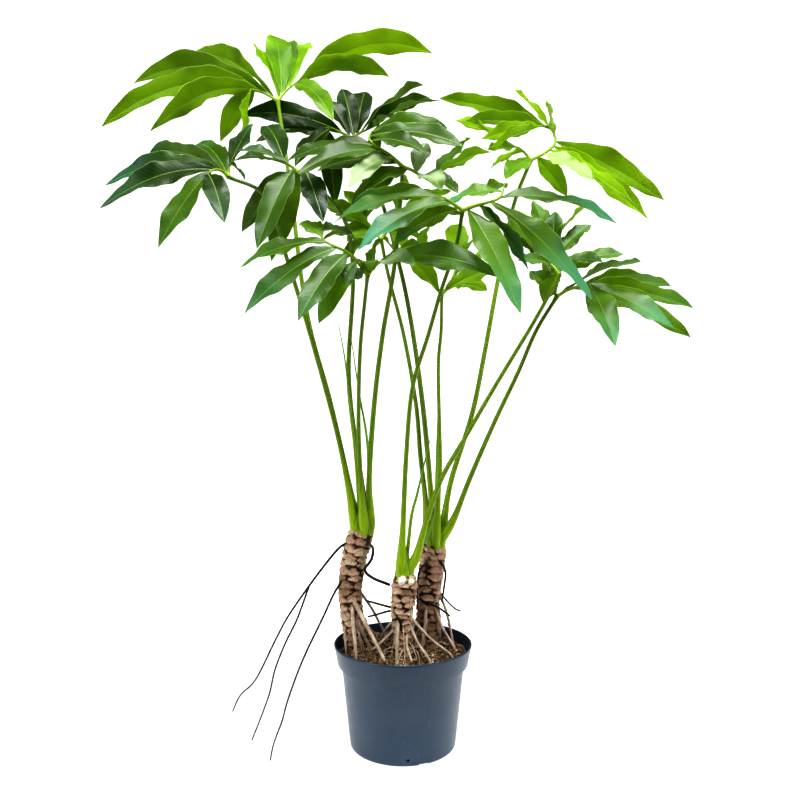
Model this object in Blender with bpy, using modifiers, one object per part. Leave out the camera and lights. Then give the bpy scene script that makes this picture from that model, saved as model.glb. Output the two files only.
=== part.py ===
"""Potted philodendron: a grower's pot of soil, three scarred trunks with prop roots, four rolled new leaves,
and twelve long-stalked fronds whose leaflets fan out from two curled arms.

Metres, +Z up. The origin is on the floor, on the pot's axis."""

import math
import random

import bmesh
import bpy
from mathutils import Matrix, Vector, noise

CM = 0.01
MM = 0.001
CLEAR = 0.0003
MERGE = 0.00001
UP = Vector((0, 0, 1))
FRONT = Vector((0, -1, 0))

POT_HEIGHT = 0.175
RIM_RADIUS = 0.120
BAND_HEIGHT = 0.035
BAND_FOOT_RADIUS = 0.1128
BODY_TOP_RADIUS = 0.1062
BASE_RADIUS = 0.0915
BASE_ROUND = 0.004
WALL = 0.002
INNER_FILLET = 0.001
LIP = 0.0036
LIP_TOP_IN = 0.0010
LIP_TOP_OUT = 0.0008
BAND_STEP = 0.002
BAND_SLOPE = 0.003
BAND_FOOT = POT_HEIGHT - BAND_HEIGHT
FLOOR_THICKNESS = 0.0035
POT_STEPS = 32
DRAIN_RADIUS = 0.0045
DRAIN_COUNT = 4
DRAIN_RING = 0.070
DRILL_LENGTH = 0.016
DRILL_SIDES = 10
WALL_DRAIN_RADIUS = 0.0024
WALL_DRAIN_HEIGHT = 0.011
WALL_DRAIN_TURN = math.radians(5)
WALL_DRAINS = 3

SOIL_EDGE = 0.156
SOIL_CROWN = 0.164
SOIL_LUMP = 0.0022
SOIL_LUMPS_PER_METRE = 60
SOIL_LUMP_REACH = 0.97
SOIL_RINGS = 5
SOIL_STEPS = 22
BURIED_SPARE = 0.0005
TRUNK_SPARE = 0.0006
HOLE_SIDES = 6

SCAR_PITCH = 0.0195
SCAR_DEPTH = 0.0024
SCARS_ROUND = 4
SCAR_HOLLOW = 0.02
ROOT_SPACING = 0.034
ROOT_THICK_END = 1.1
ROOT_THIN_END = 0.8
AIR_ROOT_SPACING = 0.034
STUB_LENGTH = 0.020
TRUNK_SIDES = 10
SOCKET_DEPTH = 0.010
SOCKET_SIDES = 8
SOCKET_CUTTER = 0.04

STALK_BASE = 0.0052
STALK_MIDDLE = 0.0041
STALK_TOP = 0.0033
STALK_SPACING = 0.13
FORK_KNOB = 0.0046
ARM_BASE = 0.0030
ARM_TIP = 0.0017
SLOT_RING = 0.0145
SLOT_EDGE = 0.0075
STRAIGHT_FOOT = 0.012
SPEAR_TIP = 0.0006

BLADE = 0.0009
BLADE_WIDTH = 0.027
BLADE_WIDEN = 0.130
FIRST_LEAFLET = 0.08
LAST_LEAFLET = 0.97
ARM_SPACING = 0.030
LONG_ROWS = (0.0, 0.19, 0.45, 0.74, 1.0)
SHORT_ROWS = (0.0, 0.26, 0.62, 1.0)
SHORT_BLADE = 0.15
BLADE_RISE = 1.0
BLADE_FALL = 0.95
BLADE_FOLD = math.radians(17)
BLADE_WAVE = 0.16
BLADE_WAVES = 1.7
BOW_UPRIGHT = 0.06
BOW_LEVEL = 0.13
DROOP_TURN = 0.6
SHARP_ANGLE = math.radians(45)

# Crowns, where the stalks leave the trunks: place of the top's centre and its radius, in centimetres.
CROWNS = {
    "left": ((-7.1, 0.0, 36.8), 2.20),
    "middle": ((0.2, -3.5, 30.0), 1.75),
    "right": ((5.7, 2.0, 34.0), 2.15),
}

# Trunk centre lines from below the soil up to the crown, in centimetres, each point with its radius.
TRUNKS = {
    "left": [(-8.0, 0.3, 12.5, 1.5), (-8.2, 0.2, 16.0, 1.8), (-8.9, 0.0, 22.0, 2.0),
             (-9.2, 0.0, 26.5, 2.1), (-8.7, 0.0, 31.0, 2.2), (-7.8, 0.0, 34.8, 2.3)],
    "middle": [(0.5, -3.3, 12.5, 1.3), (0.4, -3.4, 16.0, 1.5), (-0.2, -3.6, 22.0, 1.8),
               (0.1, -3.6, 26.0, 2.1), (0.3, -3.5, 28.6, 2.2)],
    "right": [(4.7, 2.4, 12.5, 1.8), (4.7, 2.3, 16.0, 2.0), (4.4, 2.0, 23.0, 2.1),
              (4.7, 2.0, 27.0, 2.2), (5.4, 2.0, 32.0, 2.3)],
}

# Prop roots lean from the trunk into the soil: centre line in centimetres, then the radius in millimetres.
PROP_ROOTS = {
    "left": [
        ([(-8.8, -1.4, 25.6), (-5.9, -3.8, 20.9), (-3.3, -5.8, 16.6), (-2.7, -6.1, 14.2)], 2.9),
        ([(-8.8, -1.5, 24.4), (-8.4, -3.0, 20.4), (-7.9, -4.4, 16.6), (-7.8, -4.8, 14.2)], 2.7),
        ([(-8.2, -1.6, 22.6), (-6.9, -1.5, 19.2), (-5.6, -0.8, 16.6), (-5.1, -0.6, 14.2)], 2.3),
        ([(-9.6, -0.8, 22.4), (-10.0, -1.2, 19.0), (-9.6, -1.6, 13.6)], 1.9),
        ([(-8.0, 1.0, 26.6), (-5.4, 3.6, 22.0), (-3.4, 5.6, 17.1), (-2.8, 6.2, 14.2)], 2.2),
        ([(-8.2, 0.8, 25.2), (-7.0, 1.8, 20.8), (-6.1, 2.6, 17.0), (-5.8, 2.8, 14.2)], 3.0),
    ],
    "middle": [
        ([(-0.8, -3.2, 22.8), (-2.6, -1.8, 20.6), (-3.7, 0.8, 18.0), (-4.0, 2.4, 15.0)], 1.9),
        ([(-0.9, -4.2, 21.4), (-4.2, -4.1, 18.2), (-6.2, -3.9, 16.6), (-6.8, -3.9, 14.6)], 1.9),
        ([(-0.8, -4.6, 22.8), (-1.0, -5.9, 19.4), (-1.0, -6.6, 16.6), (-1.0, -6.8, 14.2)], 2.6),
        ([(0.6, -4.6, 20.4), (0.7, -6.0, 18.2), (1.4, -6.8, 16.6), (1.6, -7.0, 14.4)], 1.9),
        ([(0.9, -4.2, 22.4), (2.6, -5.3, 18.8), (4.3, -6.0, 16.6), (5.0, -6.3, 14.6)], 1.9),
        ([(1.0, -3.8, 23.2), (4.6, -4.2, 19.4), (8.0, -4.4, 16.8), (9.0, -4.5, 15.2)], 1.9),
    ],
    "right": [
        ([(5.2, 0.8, 24.4), (6.9, -0.2, 20.0), (8.9, -1.0, 16.8), (9.5, -1.2, 15.0)], 2.3),
        ([(5.8, 1.8, 26.6), (7.4, 1.4, 23.2), (8.3, 1.3, 19.8), (8.8, 1.2, 16.8), (8.9, 1.2, 14.4)], 2.2),
        ([(4.2, 0.6, 24.6), (3.8, -0.6, 20.4), (3.3, -0.9, 17.1), (3.2, -0.9, 13.6)], 2.2),
        ([(5.6, 3.4, 25.4), (6.6, 5.4, 20.6), (6.7, 6.5, 17.1), (6.6, 6.6, 13.6)], 3.0),
        ([(4.2, 3.6, 26.0), (3.0, 5.8, 20.6), (1.6, 7.8, 17.1), (1.4, 8.0, 13.6)], 2.8),
        ([(3.2, 2.2, 22.4), (1.9, 2.6, 19.0), (0.9, 2.8, 17.1), (0.7, 2.8, 13.6)], 2.3),
    ],
}

# Thin roots that grow in the air: centre line in centimetres, then the radii at its two ends in millimetres.
AIR_ROOTS = {
    "left": [
        ([(-8.6, 0.0, 34.4), (-10.6, -0.6, 34.4), (-14.5, -0.4, 29.8), (-19.6, 0.0, 22.6),
          (-22.0, 0.0, 18.3), (-25.7, 0.0, 10.9), (-28.4, 0.2, 8.1), (-29.8, 0.2, 5.2)], 1.6, 0.8),
        ([(-16.4, -0.2, 27.1), (-18.4, -0.6, 21.6), (-20.4, -1.0, 17.5), (-22.1, -1.5, 13.1),
          (-22.9, -2.0, 9.4), (-24.0, -2.5, 6.2), (-25.8, -3.0, 1.6)], 1.3, 0.8),
        ([(-9.6, -0.6, 29.2), (-11.6, -1.4, 26.8), (-13.9, -2.2, 22.0), (-16.6, -3.5, 16.5),
          (-18.3, -5.0, 12.3), (-19.4, -6.5, 9.0), (-20.0, -7.0, 6.6), (-21.2, -8.0, 3.4),
          (-21.7, -8.5, 0.8)], 1.4, 0.8),
        ([(-7.2, -1.0, 35.0), (-5.2, -2.6, 34.6), (-5.4, -2.8, 32.4), (-6.6, -2.4, 30.6),
          (-5.3, -2.3, 29.2), (-2.9, -2.2, 28.2), (-2.2, -2.2, 27.9)], 1.6, 1.8),
    ],
    "middle": [
        ([(-0.8, -3.3, 24.2), (-2.4, -3.0, 24.4), (-4.3, -2.6, 24.8), (-6.4, -2.0, 25.2)], 1.5, 1.2),
        ([(-0.8, -3.5, 24.0), (-2.6, -3.6, 23.8), (-4.4, -3.4, 23.2), (-6.0, -3.0, 22.7)], 1.4, 1.1),
    ],
    "right": [
        ([(5.2, 0.6, 32.4), (4.2, -0.9, 31.6), (2.9, -1.5, 30.2), (2.5, -1.4, 27.2),
          (2.6, -1.4, 23.4)], 1.5, 1.0),
        ([(3.6, 0.8, 23.8), (4.6, -0.4, 24.2), (6.2, -0.2, 23.5), (8.2, 0.3, 21.9)], 1.5, 1.1),
        ([(6.2, 0.6, 31.8), (7.4, -0.5, 30.0), (7.2, -0.6, 27.4), (6.8, -0.4, 24.6)], 1.5, 1.0),
        ([(6.2, 2.6, 26.0), (7.8, 1.4, 24.2), (9.4, 1.0, 22.8), (10.2, 0.8, 22.6)], 1.2, 0.9),
    ],
}

# Cut leaf stubs high on the middle trunk: place and way out, in centimetres, and radius in millimetres.
STUBS = {
    "left": [],
    "middle": [((0.0, -4.5, 28.3), (-0.1, -0.6, 0.8), 6.2), ((0.9, -4.1, 28.0), (0.3, -0.6, 0.74), 5.2)],
    "right": [],
}

# A spear is a rolled new leaf: its crown, its slot in millimetres from the crown's centre, its line in
# centimetres and its radius at the foot in millimetres.
SPEARS = {
    "spear_left_outer": ("left", (-4.2, -1.0), [(-8.0, -1.3, 47.5), (-8.8, -1.6, 56.0), (-9.9, -1.8, 66.0),
                                                 (-11.1, -1.8, 72.8)], 3.2),
    "spear_left_inner": ("left", (4.2, 1.0), [(-6.1, 1.4, 46.0), (-6.4, 2.2, 53.0), (-7.8, 2.9, 61.0),
                                                (-9.2, 3.2, 70.5)], 3.0),
    "spear_middle": ("middle", (3.5, 7.5), [(1.4, -2.9, 39.5), (2.4, -3.0, 43.5), (3.4, -3.0, 47.8),
                                              (4.7, -3.0, 53.2)], 3.4),
    "spear_right": ("right", (0.5, 0.5), [(5.9, 2.1, 40.0), (6.0, 2.1, 47.0), (6.2, 2.1, 55.0),
                                            (6.4, 2.1, 62.0)], 3.2),
}

# The fronds. Every length is in centimetres and read by eye. "slot" is the stalk's way round its crown in
# degrees, "girth" a factor on the stalk's thickness, "arch" a factor on how far the blades bow upwards and
# "stalk" the stalk's line above the crown. Each arm has its bends and then its leaflets' tips, from the fork
# outwards, all measured from the fork. A tip's fourth number is the angle in degrees by which that blade's
# upper side leans to the front.
FRONDS = {
    "frond_top_left": {
        "crown": "left", "slot": 140, "girth": 1.0, "arch": 1.7,
        "stalk": [(-9.6, 1.8, 45.0), (-13.0, 2.6, 59.5), (-17.5, 5.0, 76.0), (-21.0, 8.5, 100.0)],
        "fork": (-23.5, 10.0, 116.0),
        "arms": [
            {"bends": [(-1.9, 0.5, 1.3), (-3.7, 0.0, 1.9), (-4.8, -2.0, 1.4)],
             "tips": [(-19.0, 9.0, 12.0, -30), (-28.5, 4.0, 5.0, -22), (-32.0, -3.0, -6.0, -22),
                      (-21.0, -9.0, -9.0, -32), (-12.0, 5.0, -6.0, -34), (-6.0, -3.0, -10.0, -30)]},
            {"bends": [(1.1, 1.5, 2.3), (2.7, 2.5, 4.2), (4.4, 3.0, 5.6)],
             "tips": [(-6.0, 8.0, 14.0, -20), (-2.5, 12.0, 18.0, -10), (-1.0, 16.0, 18.5, 0),
                      (2.5, 20.0, 19.5, -10), (11.0, -6.0, -6.0, 60), (21.0, 0.0, 4.5, -22),
                      (29.0, -3.0, 7.5, -25)]},
        ],
    },
    "frond_left": {
        "crown": "left", "slot": 205, "girth": 0.95, "arch": 1.2,
        "stalk": [(-9.3, -0.8, 43.5), (-11.5, -1.0, 54.5), (-16.0, -1.5, 71.0), (-19.8, -2.0, 83.5),
                  (-23.5, -2.2, 94.5)],
        "fork": (-30.0, -2.5, 98.0),
        "arms": [
            {"bends": [(-0.8, -0.8, 0.7), (-1.8, -2.5, 0.4), (-2.5, -4.0, -0.8)],
             "tips": [(-15.5, 6.0, 6.0, -26), (-21.0, 0.0, -1.5, 58), (-19.5, -6.0, -7.0, 66),
                      (-9.0, -9.0, -14.0, 68), (2.0, -11.0, -10.5, 60)]},
            {"bends": [(-0.3, 2.0, 2.1), (-0.6, 4.0, 3.6)],
             "tips": [(-8.0, 10.0, 9.0, 50), (3.5, 4.0, 10.5, 55), (1.5, 7.0, 1.5, 50)]},
        ],
    },
    "frond_inner_left": {
        "crown": "left", "slot": 70, "girth": 0.95, "arch": 1.0,
        "stalk": [(-7.4, 1.4, 46.0), (-8.5, 1.4, 53.0), (-9.5, 0.2, 65.0), (-8.6, -2.0, 82.0),
                  (-10.5, -3.2, 91.5)],
        "fork": (-17.5, -5.0, 98.0),
        "arms": [
            {"bends": [(-1.2, 0.5, 1.0), (-2.8, 2.0, 2.3)],
             "tips": [(-11.5, 9.0, -8.0, -35), (-5.5, -8.0, -14.5, 66), (-10.5, -4.0, 0.5, 30),
                      (-11.5, 3.0, 4.5, 35), (-8.0, 13.0, 12.5, 50)]},
            {"bends": [(0.8, -2.0, -0.3), (1.5, -4.0, -0.9)],
             "tips": [(-6.0, 8.0, -13.5, -30), (5.0, -9.0, -10.5, 60)]},
        ],
    },
    "frond_centre": {
        "crown": "left", "slot": 355, "girth": 1.0, "arch": 1.0,
        "stalk": [(-5.9, 0.6, 46.0), (-5.0, 0.0, 59.0), (-3.5, -1.0, 71.0), (-1.5, -2.0, 82.5),
                  (-0.5, -3.5, 93.0)],
        "fork": (0.0, -4.5, 99.0),
        "arms": [
            {"bends": [(-2.2, -0.5, 1.9), (-4.2, -1.0, 3.0), (-5.7, 0.0, 4.7), (-5.3, 2.0, 6.8)],
             "tips": [(-15.0, 4.0, 0.5, 55), (-8.5, -9.0, -6.0, 62), (-16.5, -9.0, -4.0, 48),
                      (-19.5, 0.0, 1.0, 42), (3.5, -7.0, 0.0, 55), (10.0, -4.0, 2.0, 60),
                      (7.5, 0.0, 6.5, 62)]},
            {"bends": [(1.5, 1.0, -0.2), (3.6, 2.0, -1.2), (5.6, 4.0, -1.7)],
             "tips": [(-9.0, 4.0, -5.5, -30), (-6.0, -7.0, -6.0, 50), (4.0, 4.0, 5.5, 50),
                      (6.0, -9.0, -6.5, 62), (9.0, -4.0, -5.5, 50), (15.5, 6.0, 4.5, -20),
                      (12.5, 12.0, 9.0, -10)]},
        ],
    },
    "frond_rear": {
        "crown": "right", "slot": 100, "girth": 1.0, "arch": 1.0,
        "stalk": [(5.0, 3.4, 43.5), (3.6, 5.0, 59.0), (1.5, 8.0, 74.5), (-0.8, 11.0, 86.0),
                  (-4.5, 15.0, 99.5)],
        "fork": (-10.0, 17.0, 111.5),
        "arms": [
            {"bends": [(-1.9, -1.0, 0.6), (-3.8, -2.0, 1.2), (-5.0, -3.0, 1.0)],
             "tips": [(-6.0, 3.0, 9.5, 40), (-21.0, -5.0, 2.5, 75), (-18.0, -5.0, -2.5, 60),
                      (-10.0, -9.0, -8.5, 60), (-3.5, 3.0, -12.5, -35)]},
            {"bends": [(1.5, 2.0, 1.7), (3.5, 3.0, 3.0), (5.5, 2.0, 3.5)],
             "tips": [(-2.5, 8.0, 13.0, 30), (2.0, 13.0, 14.5, 20), (14.5, 12.0, 15.5, -18),
                      (15.5, 4.0, 9.5, -22), (17.5, -2.0, 6.5, 25), (9.5, -9.0, 0.0, 40),
                      (2.5, 3.0, -11.5, -35)]},
        ],
    },
    "frond_top_right": {
        "crown": "right", "slot": 28, "girth": 1.0, "arch": 0.5,
        "stalk": [(8.6, 3.3, 45.0), (12.5, 4.5, 57.0), (15.0, 6.0, 68.5), (17.5, 8.0, 81.0),
                  (20.8, 10.0, 96.0)],
        "fork": (24.5, 12.0, 105.5),
        "arms": [
            {"bends": [(-1.2, 0.8, 1.8), (-2.7, 2.0, 3.2), (-4.0, 3.0, 4.5)],
             "tips": [(-6.0, -8.0, -6.0, 50), (-8.5, -6.0, -3.5, -25), (-7.5, 6.0, 4.0, -20),
                      (-14.0, 8.0, 10.5, -20)]},
            {"bends": [(3.0, 0.5, 1.7), (5.0, 2.0, 3.9), (5.3, 4.5, 6.8), (3.5, 4.0, 8.0),
                       (0.9, 1.0, 6.5)],
             "tips": [(8.0, 5.0, -5.5, -35), (9.5, -9.0, -6.5, 60), (18.0, -5.0, -9.5, -15),
                      (22.0, -1.0, -11.5, -20), (27.5, 6.0, -6.0, -30), (3.0, 1.0, 12.0, 40),
                      (-1.5, 10.0, 17.5, -20), (-17.0, 8.0, 15.0, -26), (-12.0, 4.0, 9.0, -24),
                      (-9.5, 0.0, 4.0, -24), (-8.5, -5.0, 0.5, -30)]},
        ],
    },
    "frond_front": {
        "crown": "middle", "slot": 232, "girth": 0.85, "arch": 1.0,
        "stalk": [(0.0, -4.9, 38.5), (0.5, -7.0, 50.0), (1.5, -9.0, 61.5), (4.0, -11.0, 70.0),
                  (6.0, -13.0, 77.0), (8.2, -15.5, 83.5)],
        "fork": (9.0, -17.0, 88.5),
        "arms": [
            {"bends": [(-1.7, -1.0, 0.9), (-2.7, -1.0, 1.6), (-3.8, 2.0, 2.6)],
             "tips": [(-10.5, 5.0, -4.0, -28), (-15.5, -7.0, -7.5, 45), (-19.5, 1.0, -1.5, 35),
                      (-17.5, 6.0, 2.0, -15)]},
            {"bends": [(1.6, -1.0, 0.4), (3.1, -1.5, 0.7), (5.7, 0.0, 2.0), (6.7, 2.0, 4.8)],
             "tips": [(7.5, -8.0, -16.5, 60), (10.0, 0.0, -9.0, 50), (18.5, -5.0, -14.5, 50),
                      (24.0, 2.0, -1.5, 35), (-2.5, 3.0, 1.5, 40), (5.0, 7.0, 4.5, -30)]},
        ],
    },
    "frond_middle_rear": {
        "crown": "right", "slot": 160, "girth": 0.9, "arch": 1.0,
        "stalk": [(4.0, 3.9, 42.5), (3.2, 5.0, 49.5), (2.4, 5.6, 59.0), (0.2, 6.3, 71.5),
                  (-2.6, 7.4, 82.5)],
        "fork": (-4.0, 8.0, 89.5),
        "arms": [
            {"bends": [(-1.7, 1.0, 2.3), (-3.7, 2.0, 3.7)],
             "tips": [(-2.5, 3.0, -5.0, 30), (-7.5, 0.0, -4.0, -30), (-6.0, -5.0, -1.5, 40),
                      (-10.5, -4.0, -1.0, -20), (-8.5, -2.0, 4.0, -20), (-12.5, -1.0, 6.5, -20),
                      (-7.0, 0.0, 9.0, -25), (-1.5, 2.0, 11.0, -20), (2.0, 5.0, 9.5, -20)]},
            {"bends": [(1.3, 0.5, 1.8), (2.4, 1.5, 3.6), (3.1, 2.5, 5.1)],
             "tips": [(3.5, -2.0, -4.5, -25), (9.5, -6.0, -3.0, -25), (14.5, -7.0, 3.0, -30),
                      (13.0, 0.0, 9.0, -22), (4.5, 5.0, 13.5, -20)]},
        ],
    },
    "frond_front_left": {
        "crown": "left", "slot": 285, "girth": 0.85, "arch": 1.0,
        "stalk": [(-7.3, -2.0, 46.0), (-7.5, -4.5, 56.0), (-7.0, -9.0, 67.5), (-6.1, -12.3, 75.0)],
        "fork": (-5.5, -15.0, 79.0),
        "arms": [
            {"bends": [(-1.6, -0.5, 2.1), (-3.4, -1.0, 3.5), (-5.1, -1.0, 4.3), (-6.8, 0.0, 5.4),
                       (-7.6, 2.0, 7.4)],
             "tips": [(-3.5, -3.0, -2.0, 45), (-7.0, -5.0, -8.0, 75), (-9.5, -9.0, -8.0, 75),
                      (-18.0, -5.0, -6.5, 55), (-19.5, -1.0, 1.0, 40), (-11.0, 4.0, 9.0, 40),
                      (-2.5, 9.0, 7.5, 55)]},
            {"bends": [(0.8, 1.0, 1.3), (1.8, 2.5, 2.5), (3.4, 4.0, 4.1)],
             "tips": [(-0.5, -6.0, 1.0, 50), (7.0, -8.0, 0.0, 55), (20.0, -6.0, -1.5, 60),
                      (10.0, 6.0, 6.0, 0)]},
        ],
    },
    "frond_low_centre": {
        "crown": "right", "slot": 275, "girth": 0.8, "arch": 1.0,
        "stalk": [(6.2, 0.2, 43.0), (6.5, 0.0, 49.5), (6.1, -2.0, 65.0), (6.5, -3.5, 71.5)],
        "fork": (6.5, -5.0, 77.5),
        "arms": [
            {"bends": [(-1.4, 1.0, 1.7), (-2.9, 1.5, 3.3), (-4.6, 2.0, 5.2)],
             "tips": [(-7.5, -3.0, 7.0, -30), (-8.5, 0.0, 10.5, -25), (-2.0, 5.0, 12.5, -20)]},
            {"bends": [(1.4, 0.0, 1.5), (2.3, 1.0, 3.9), (3.2, 2.0, 5.8)],
             "tips": [(9.5, -4.0, 3.5, -34), (8.0, 3.0, 1.0, -35), (11.0, 5.0, 9.0, -25),
                      (7.5, 4.0, 12.0, -20), (3.0, 12.0, 14.5, -15)]},
        ],
    },
    "frond_right": {
        "crown": "middle", "slot": 350, "girth": 0.9, "arch": 0.8,
        "stalk": [(2.4, -4.0, 33.5), (4.0, -4.5, 39.5), (6.5, -4.9, 46.5), (10.5, -5.2, 53.5),
                  (16.0, -5.6, 63.0), (22.0, -6.0, 73.0)],
        "fork": (26.0, -6.5, 80.5),
        "arms": [
            {"bends": [(-0.9, 1.0, 1.6), (-2.0, 2.0, 2.3), (-3.5, 3.0, 3.3)],
             "tips": [(-2.0, 4.0, -4.0, -35), (-7.5, -4.0, 1.5, 50), (-9.5, 2.0, 11.5, 55),
                      (-6.5, 5.0, 9.0, 40)]},
            {"bends": [(-0.4, 1.0, 2.6), (-0.9, 2.0, 4.8), (-1.4, 3.5, 6.5)],
             "tips": [(10.0, -2.0, 3.0, 50), (5.5, -6.0, 1.0, 45), (6.0, 3.0, 9.0, 40),
                      (0.0, 4.0, 11.5, -20), (5.5, 5.0, 12.5, -20), (-3.0, 8.0, 14.5, -20)]},
        ],
    },
    "frond_low_right": {
        "crown": "right", "slot": 325, "girth": 0.95, "arch": 0.7,
        "stalk": [(9.0, 1.0, 38.8), (12.0, 0.5, 46.5), (16.3, -0.2, 56.5), (20.0, -1.0, 64.5),
                  (22.9, -1.8, 71.5)],
        "fork": (26.5, -2.0, 77.5),
        "arms": [
            {"bends": [(1.3, -1.0, 0.8), (3.3, -1.5, 1.6), (5.2, -2.0, 2.0)],
             "tips": [(18.0, 11.0, 8.0, -15), (22.5, 8.0, 3.0, -22), (25.0, 4.0, -1.5, -20),
                      (23.0, 0.0, -7.0, -25), (17.0, -9.0, -6.5, 50), (6.0, -14.0, -9.5, 70)]},
            {"bends": [(-0.6, 1.0, 1.4), (-1.1, 2.0, 3.2)],
             "tips": [(-5.5, -5.0, 3.5, -20), (1.0, 6.0, 9.0, 30)]},
        ],
    },
}


def material(name, colour, roughness):
    """A Principled material with the part's own colour and roughness."""
    made = bpy.data.materials.new(name)
    made.use_nodes = True
    shader = made.node_tree.nodes["Principled BSDF"]
    shader.inputs["Base Color"].default_value = (*colour, 1.0)
    shader.inputs["Roughness"].default_value = roughness
    return made


def collection(name):
    """A new collection in the scene."""
    made = bpy.data.collections.new(name)
    bpy.context.scene.collection.children.link(made)
    return made


def place(name, mesh, group):
    """A new object for the mesh, in the given collection."""
    made = bpy.data.objects.new(name, mesh)
    group.objects.link(made)
    return made


def apply_modifiers(thing):
    """Puts what the modifiers show into the object's own mesh."""
    bpy.context.view_layer.update()
    shown = thing.evaluated_get(bpy.context.evaluated_depsgraph_get())
    mesh = bpy.data.meshes.new_from_object(shown)
    thing.modifiers.clear()
    thing.data = mesh
    return thing


def remove(things):
    """Takes objects out of the file."""
    for thing in list(things):
        bpy.data.objects.remove(thing)


def turned(name, profile, steps, group):
    """A solid turned round +Z from an open profile whose two ends lie on the axis."""
    mesh = bpy.data.meshes.new(name)
    points = [(radius, 0.0, height) for radius, height in profile]
    mesh.from_pydata(points, [(i, i + 1) for i in range(len(points) - 1)], [])
    thing = place(name, mesh, group)
    screw = thing.modifiers.new("Turn", "SCREW")
    screw.steps = screw.render_steps = steps
    screw.use_merge_vertices = True
    screw.merge_threshold = 0.0001
    return apply_modifiers(thing)


def tube(name, points, radii, group, resolution=1):
    """A closed tube along the points, with a radius at each."""
    curve = bpy.data.curves.new(name, "CURVE")
    curve.dimensions = "3D"
    curve.bevel_depth = 1.0
    curve.bevel_resolution = resolution
    curve.use_fill_caps = True
    spline = curve.splines.new("POLY")
    spline.points.add(len(points) - 1)
    for slot, point, radius in zip(spline.points, points, radii):
        slot.co = (*point, 1.0)
        slot.radius = radius
    guide = place(name, curve, group)
    bpy.context.view_layer.update()
    shown = guide.evaluated_get(bpy.context.evaluated_depsgraph_get())
    mesh = bpy.data.meshes.new_from_object(shown)
    bpy.data.objects.remove(guide)
    work = bmesh.new()
    work.from_mesh(mesh)
    bmesh.ops.remove_doubles(work, verts=work.verts, dist=MERGE)
    bmesh.ops.recalc_face_normals(work, faces=work.faces)
    work.to_mesh(mesh)
    work.free()
    return place(name, mesh, group)


def split_faces(things):
    """Splits the faces of each object into triangles, so that each face is flat."""
    for thing in things:
        work = bmesh.new()
        work.from_mesh(thing.data)
        bmesh.ops.triangulate(work, faces=work.faces)
        work.to_mesh(thing.data)
        work.free()


def combine(thing, others, operation):
    """One Boolean of the object with every object of a collection, which is then emptied."""
    if others.objects:
        boolean = thing.modifiers.new("Combine", "BOOLEAN")
        boolean.operation = operation
        boolean.operand_type = "COLLECTION"
        boolean.collection = others
        boolean.solver = "EXACT"
        apply_modifiers(thing)
    remove(others.objects)
    bpy.data.collections.remove(others)
    return thing


def smooth_line(points, spacing):
    """Points about the given spacing apart on a Catmull-Rom curve through the given ones."""
    ends = [points[0] * 2 - points[1], *points, points[-1] * 2 - points[-2]]
    line = []
    for a, b, c, d in zip(ends, ends[1:], ends[2:], ends[3:]):
        count = max(1, round((c - b).length / spacing))
        for i in range(count):
            t = i / count
            line.append(0.5 * (2 * b + (c - a) * t + (2 * a - 5 * b + 4 * c - d) * t ** 2
                               + (3 * b - a - 3 * c + d) * t ** 3))
    return [*line, points[-1].copy()]


def along(line, share):
    """The point at a share of the line's length."""
    steps = [(b - a).length for a, b in zip(line, line[1:])]
    left = share * sum(steps)
    for a, b, step in zip(line, line[1:], steps):
        if left <= step:
            return a.lerp(b, left / step)
        left -= step
    return line[-1].copy()


def taper(count, start, end):
    """Radii that run evenly from start to end."""
    return [start + (end - start) * i / (count - 1) for i in range(count)]


def centimetres(point):
    """A point given in centimetres, as a vector in metres."""
    return Vector(point[:3]) * CM


def pot(group):
    """The grower's pot: a thin tapered wall, a flared rim band with a rolled lip, and drain holes."""
    foot = BASE_RADIUS
    lip_mid = RIM_RADIUS - LIP / 2
    corner = [(foot - BASE_ROUND * (1 - math.cos(a)), BASE_ROUND * (1 - math.sin(a)))
              for a in (0.0, math.pi / 4, math.pi / 2)]
    profile = [
        (0.0, FLOOR_THICKNESS),
        (foot - WALL - INNER_FILLET, FLOOR_THICKNESS),
        (BODY_TOP_RADIUS - WALL, BAND_FOOT - BAND_SLOPE),
        (BAND_FOOT_RADIUS - WALL, BAND_FOOT + BAND_SLOPE),
        (RIM_RADIUS - LIP, POT_HEIGHT - LIP / 2),
        (lip_mid - LIP_TOP_IN, POT_HEIGHT),
        (lip_mid + LIP_TOP_OUT, POT_HEIGHT),
        (RIM_RADIUS, POT_HEIGHT - LIP / 2),
        (RIM_RADIUS - LIP_TOP_OUT, POT_HEIGHT - LIP),
        (BAND_FOOT_RADIUS, BAND_FOOT),
        (BODY_TOP_RADIUS, BAND_FOOT - BAND_STEP),
        *corner,
        (0.0, 0.0),
    ]
    body = turned("pot", profile, POT_STEPS, group)
    drills = collection("pot drills")
    for i in range(DRAIN_COUNT):
        turn = 2 * math.pi * (i + 0.5) / DRAIN_COUNT
        drill(drills, (DRAIN_RING * math.cos(turn), DRAIN_RING * math.sin(turn), 0.0), (0, 0, 0))
    for i in range(WALL_DRAINS):
        turn = 2 * math.pi * i / WALL_DRAINS - math.pi / 2 + WALL_DRAIN_TURN
        centre = (foot * math.cos(turn), foot * math.sin(turn), WALL_DRAIN_HEIGHT)
        drill(drills, centre, (0, math.pi / 2, turn), WALL_DRAIN_RADIUS)
    return combine(body, drills, "DIFFERENCE")


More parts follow.
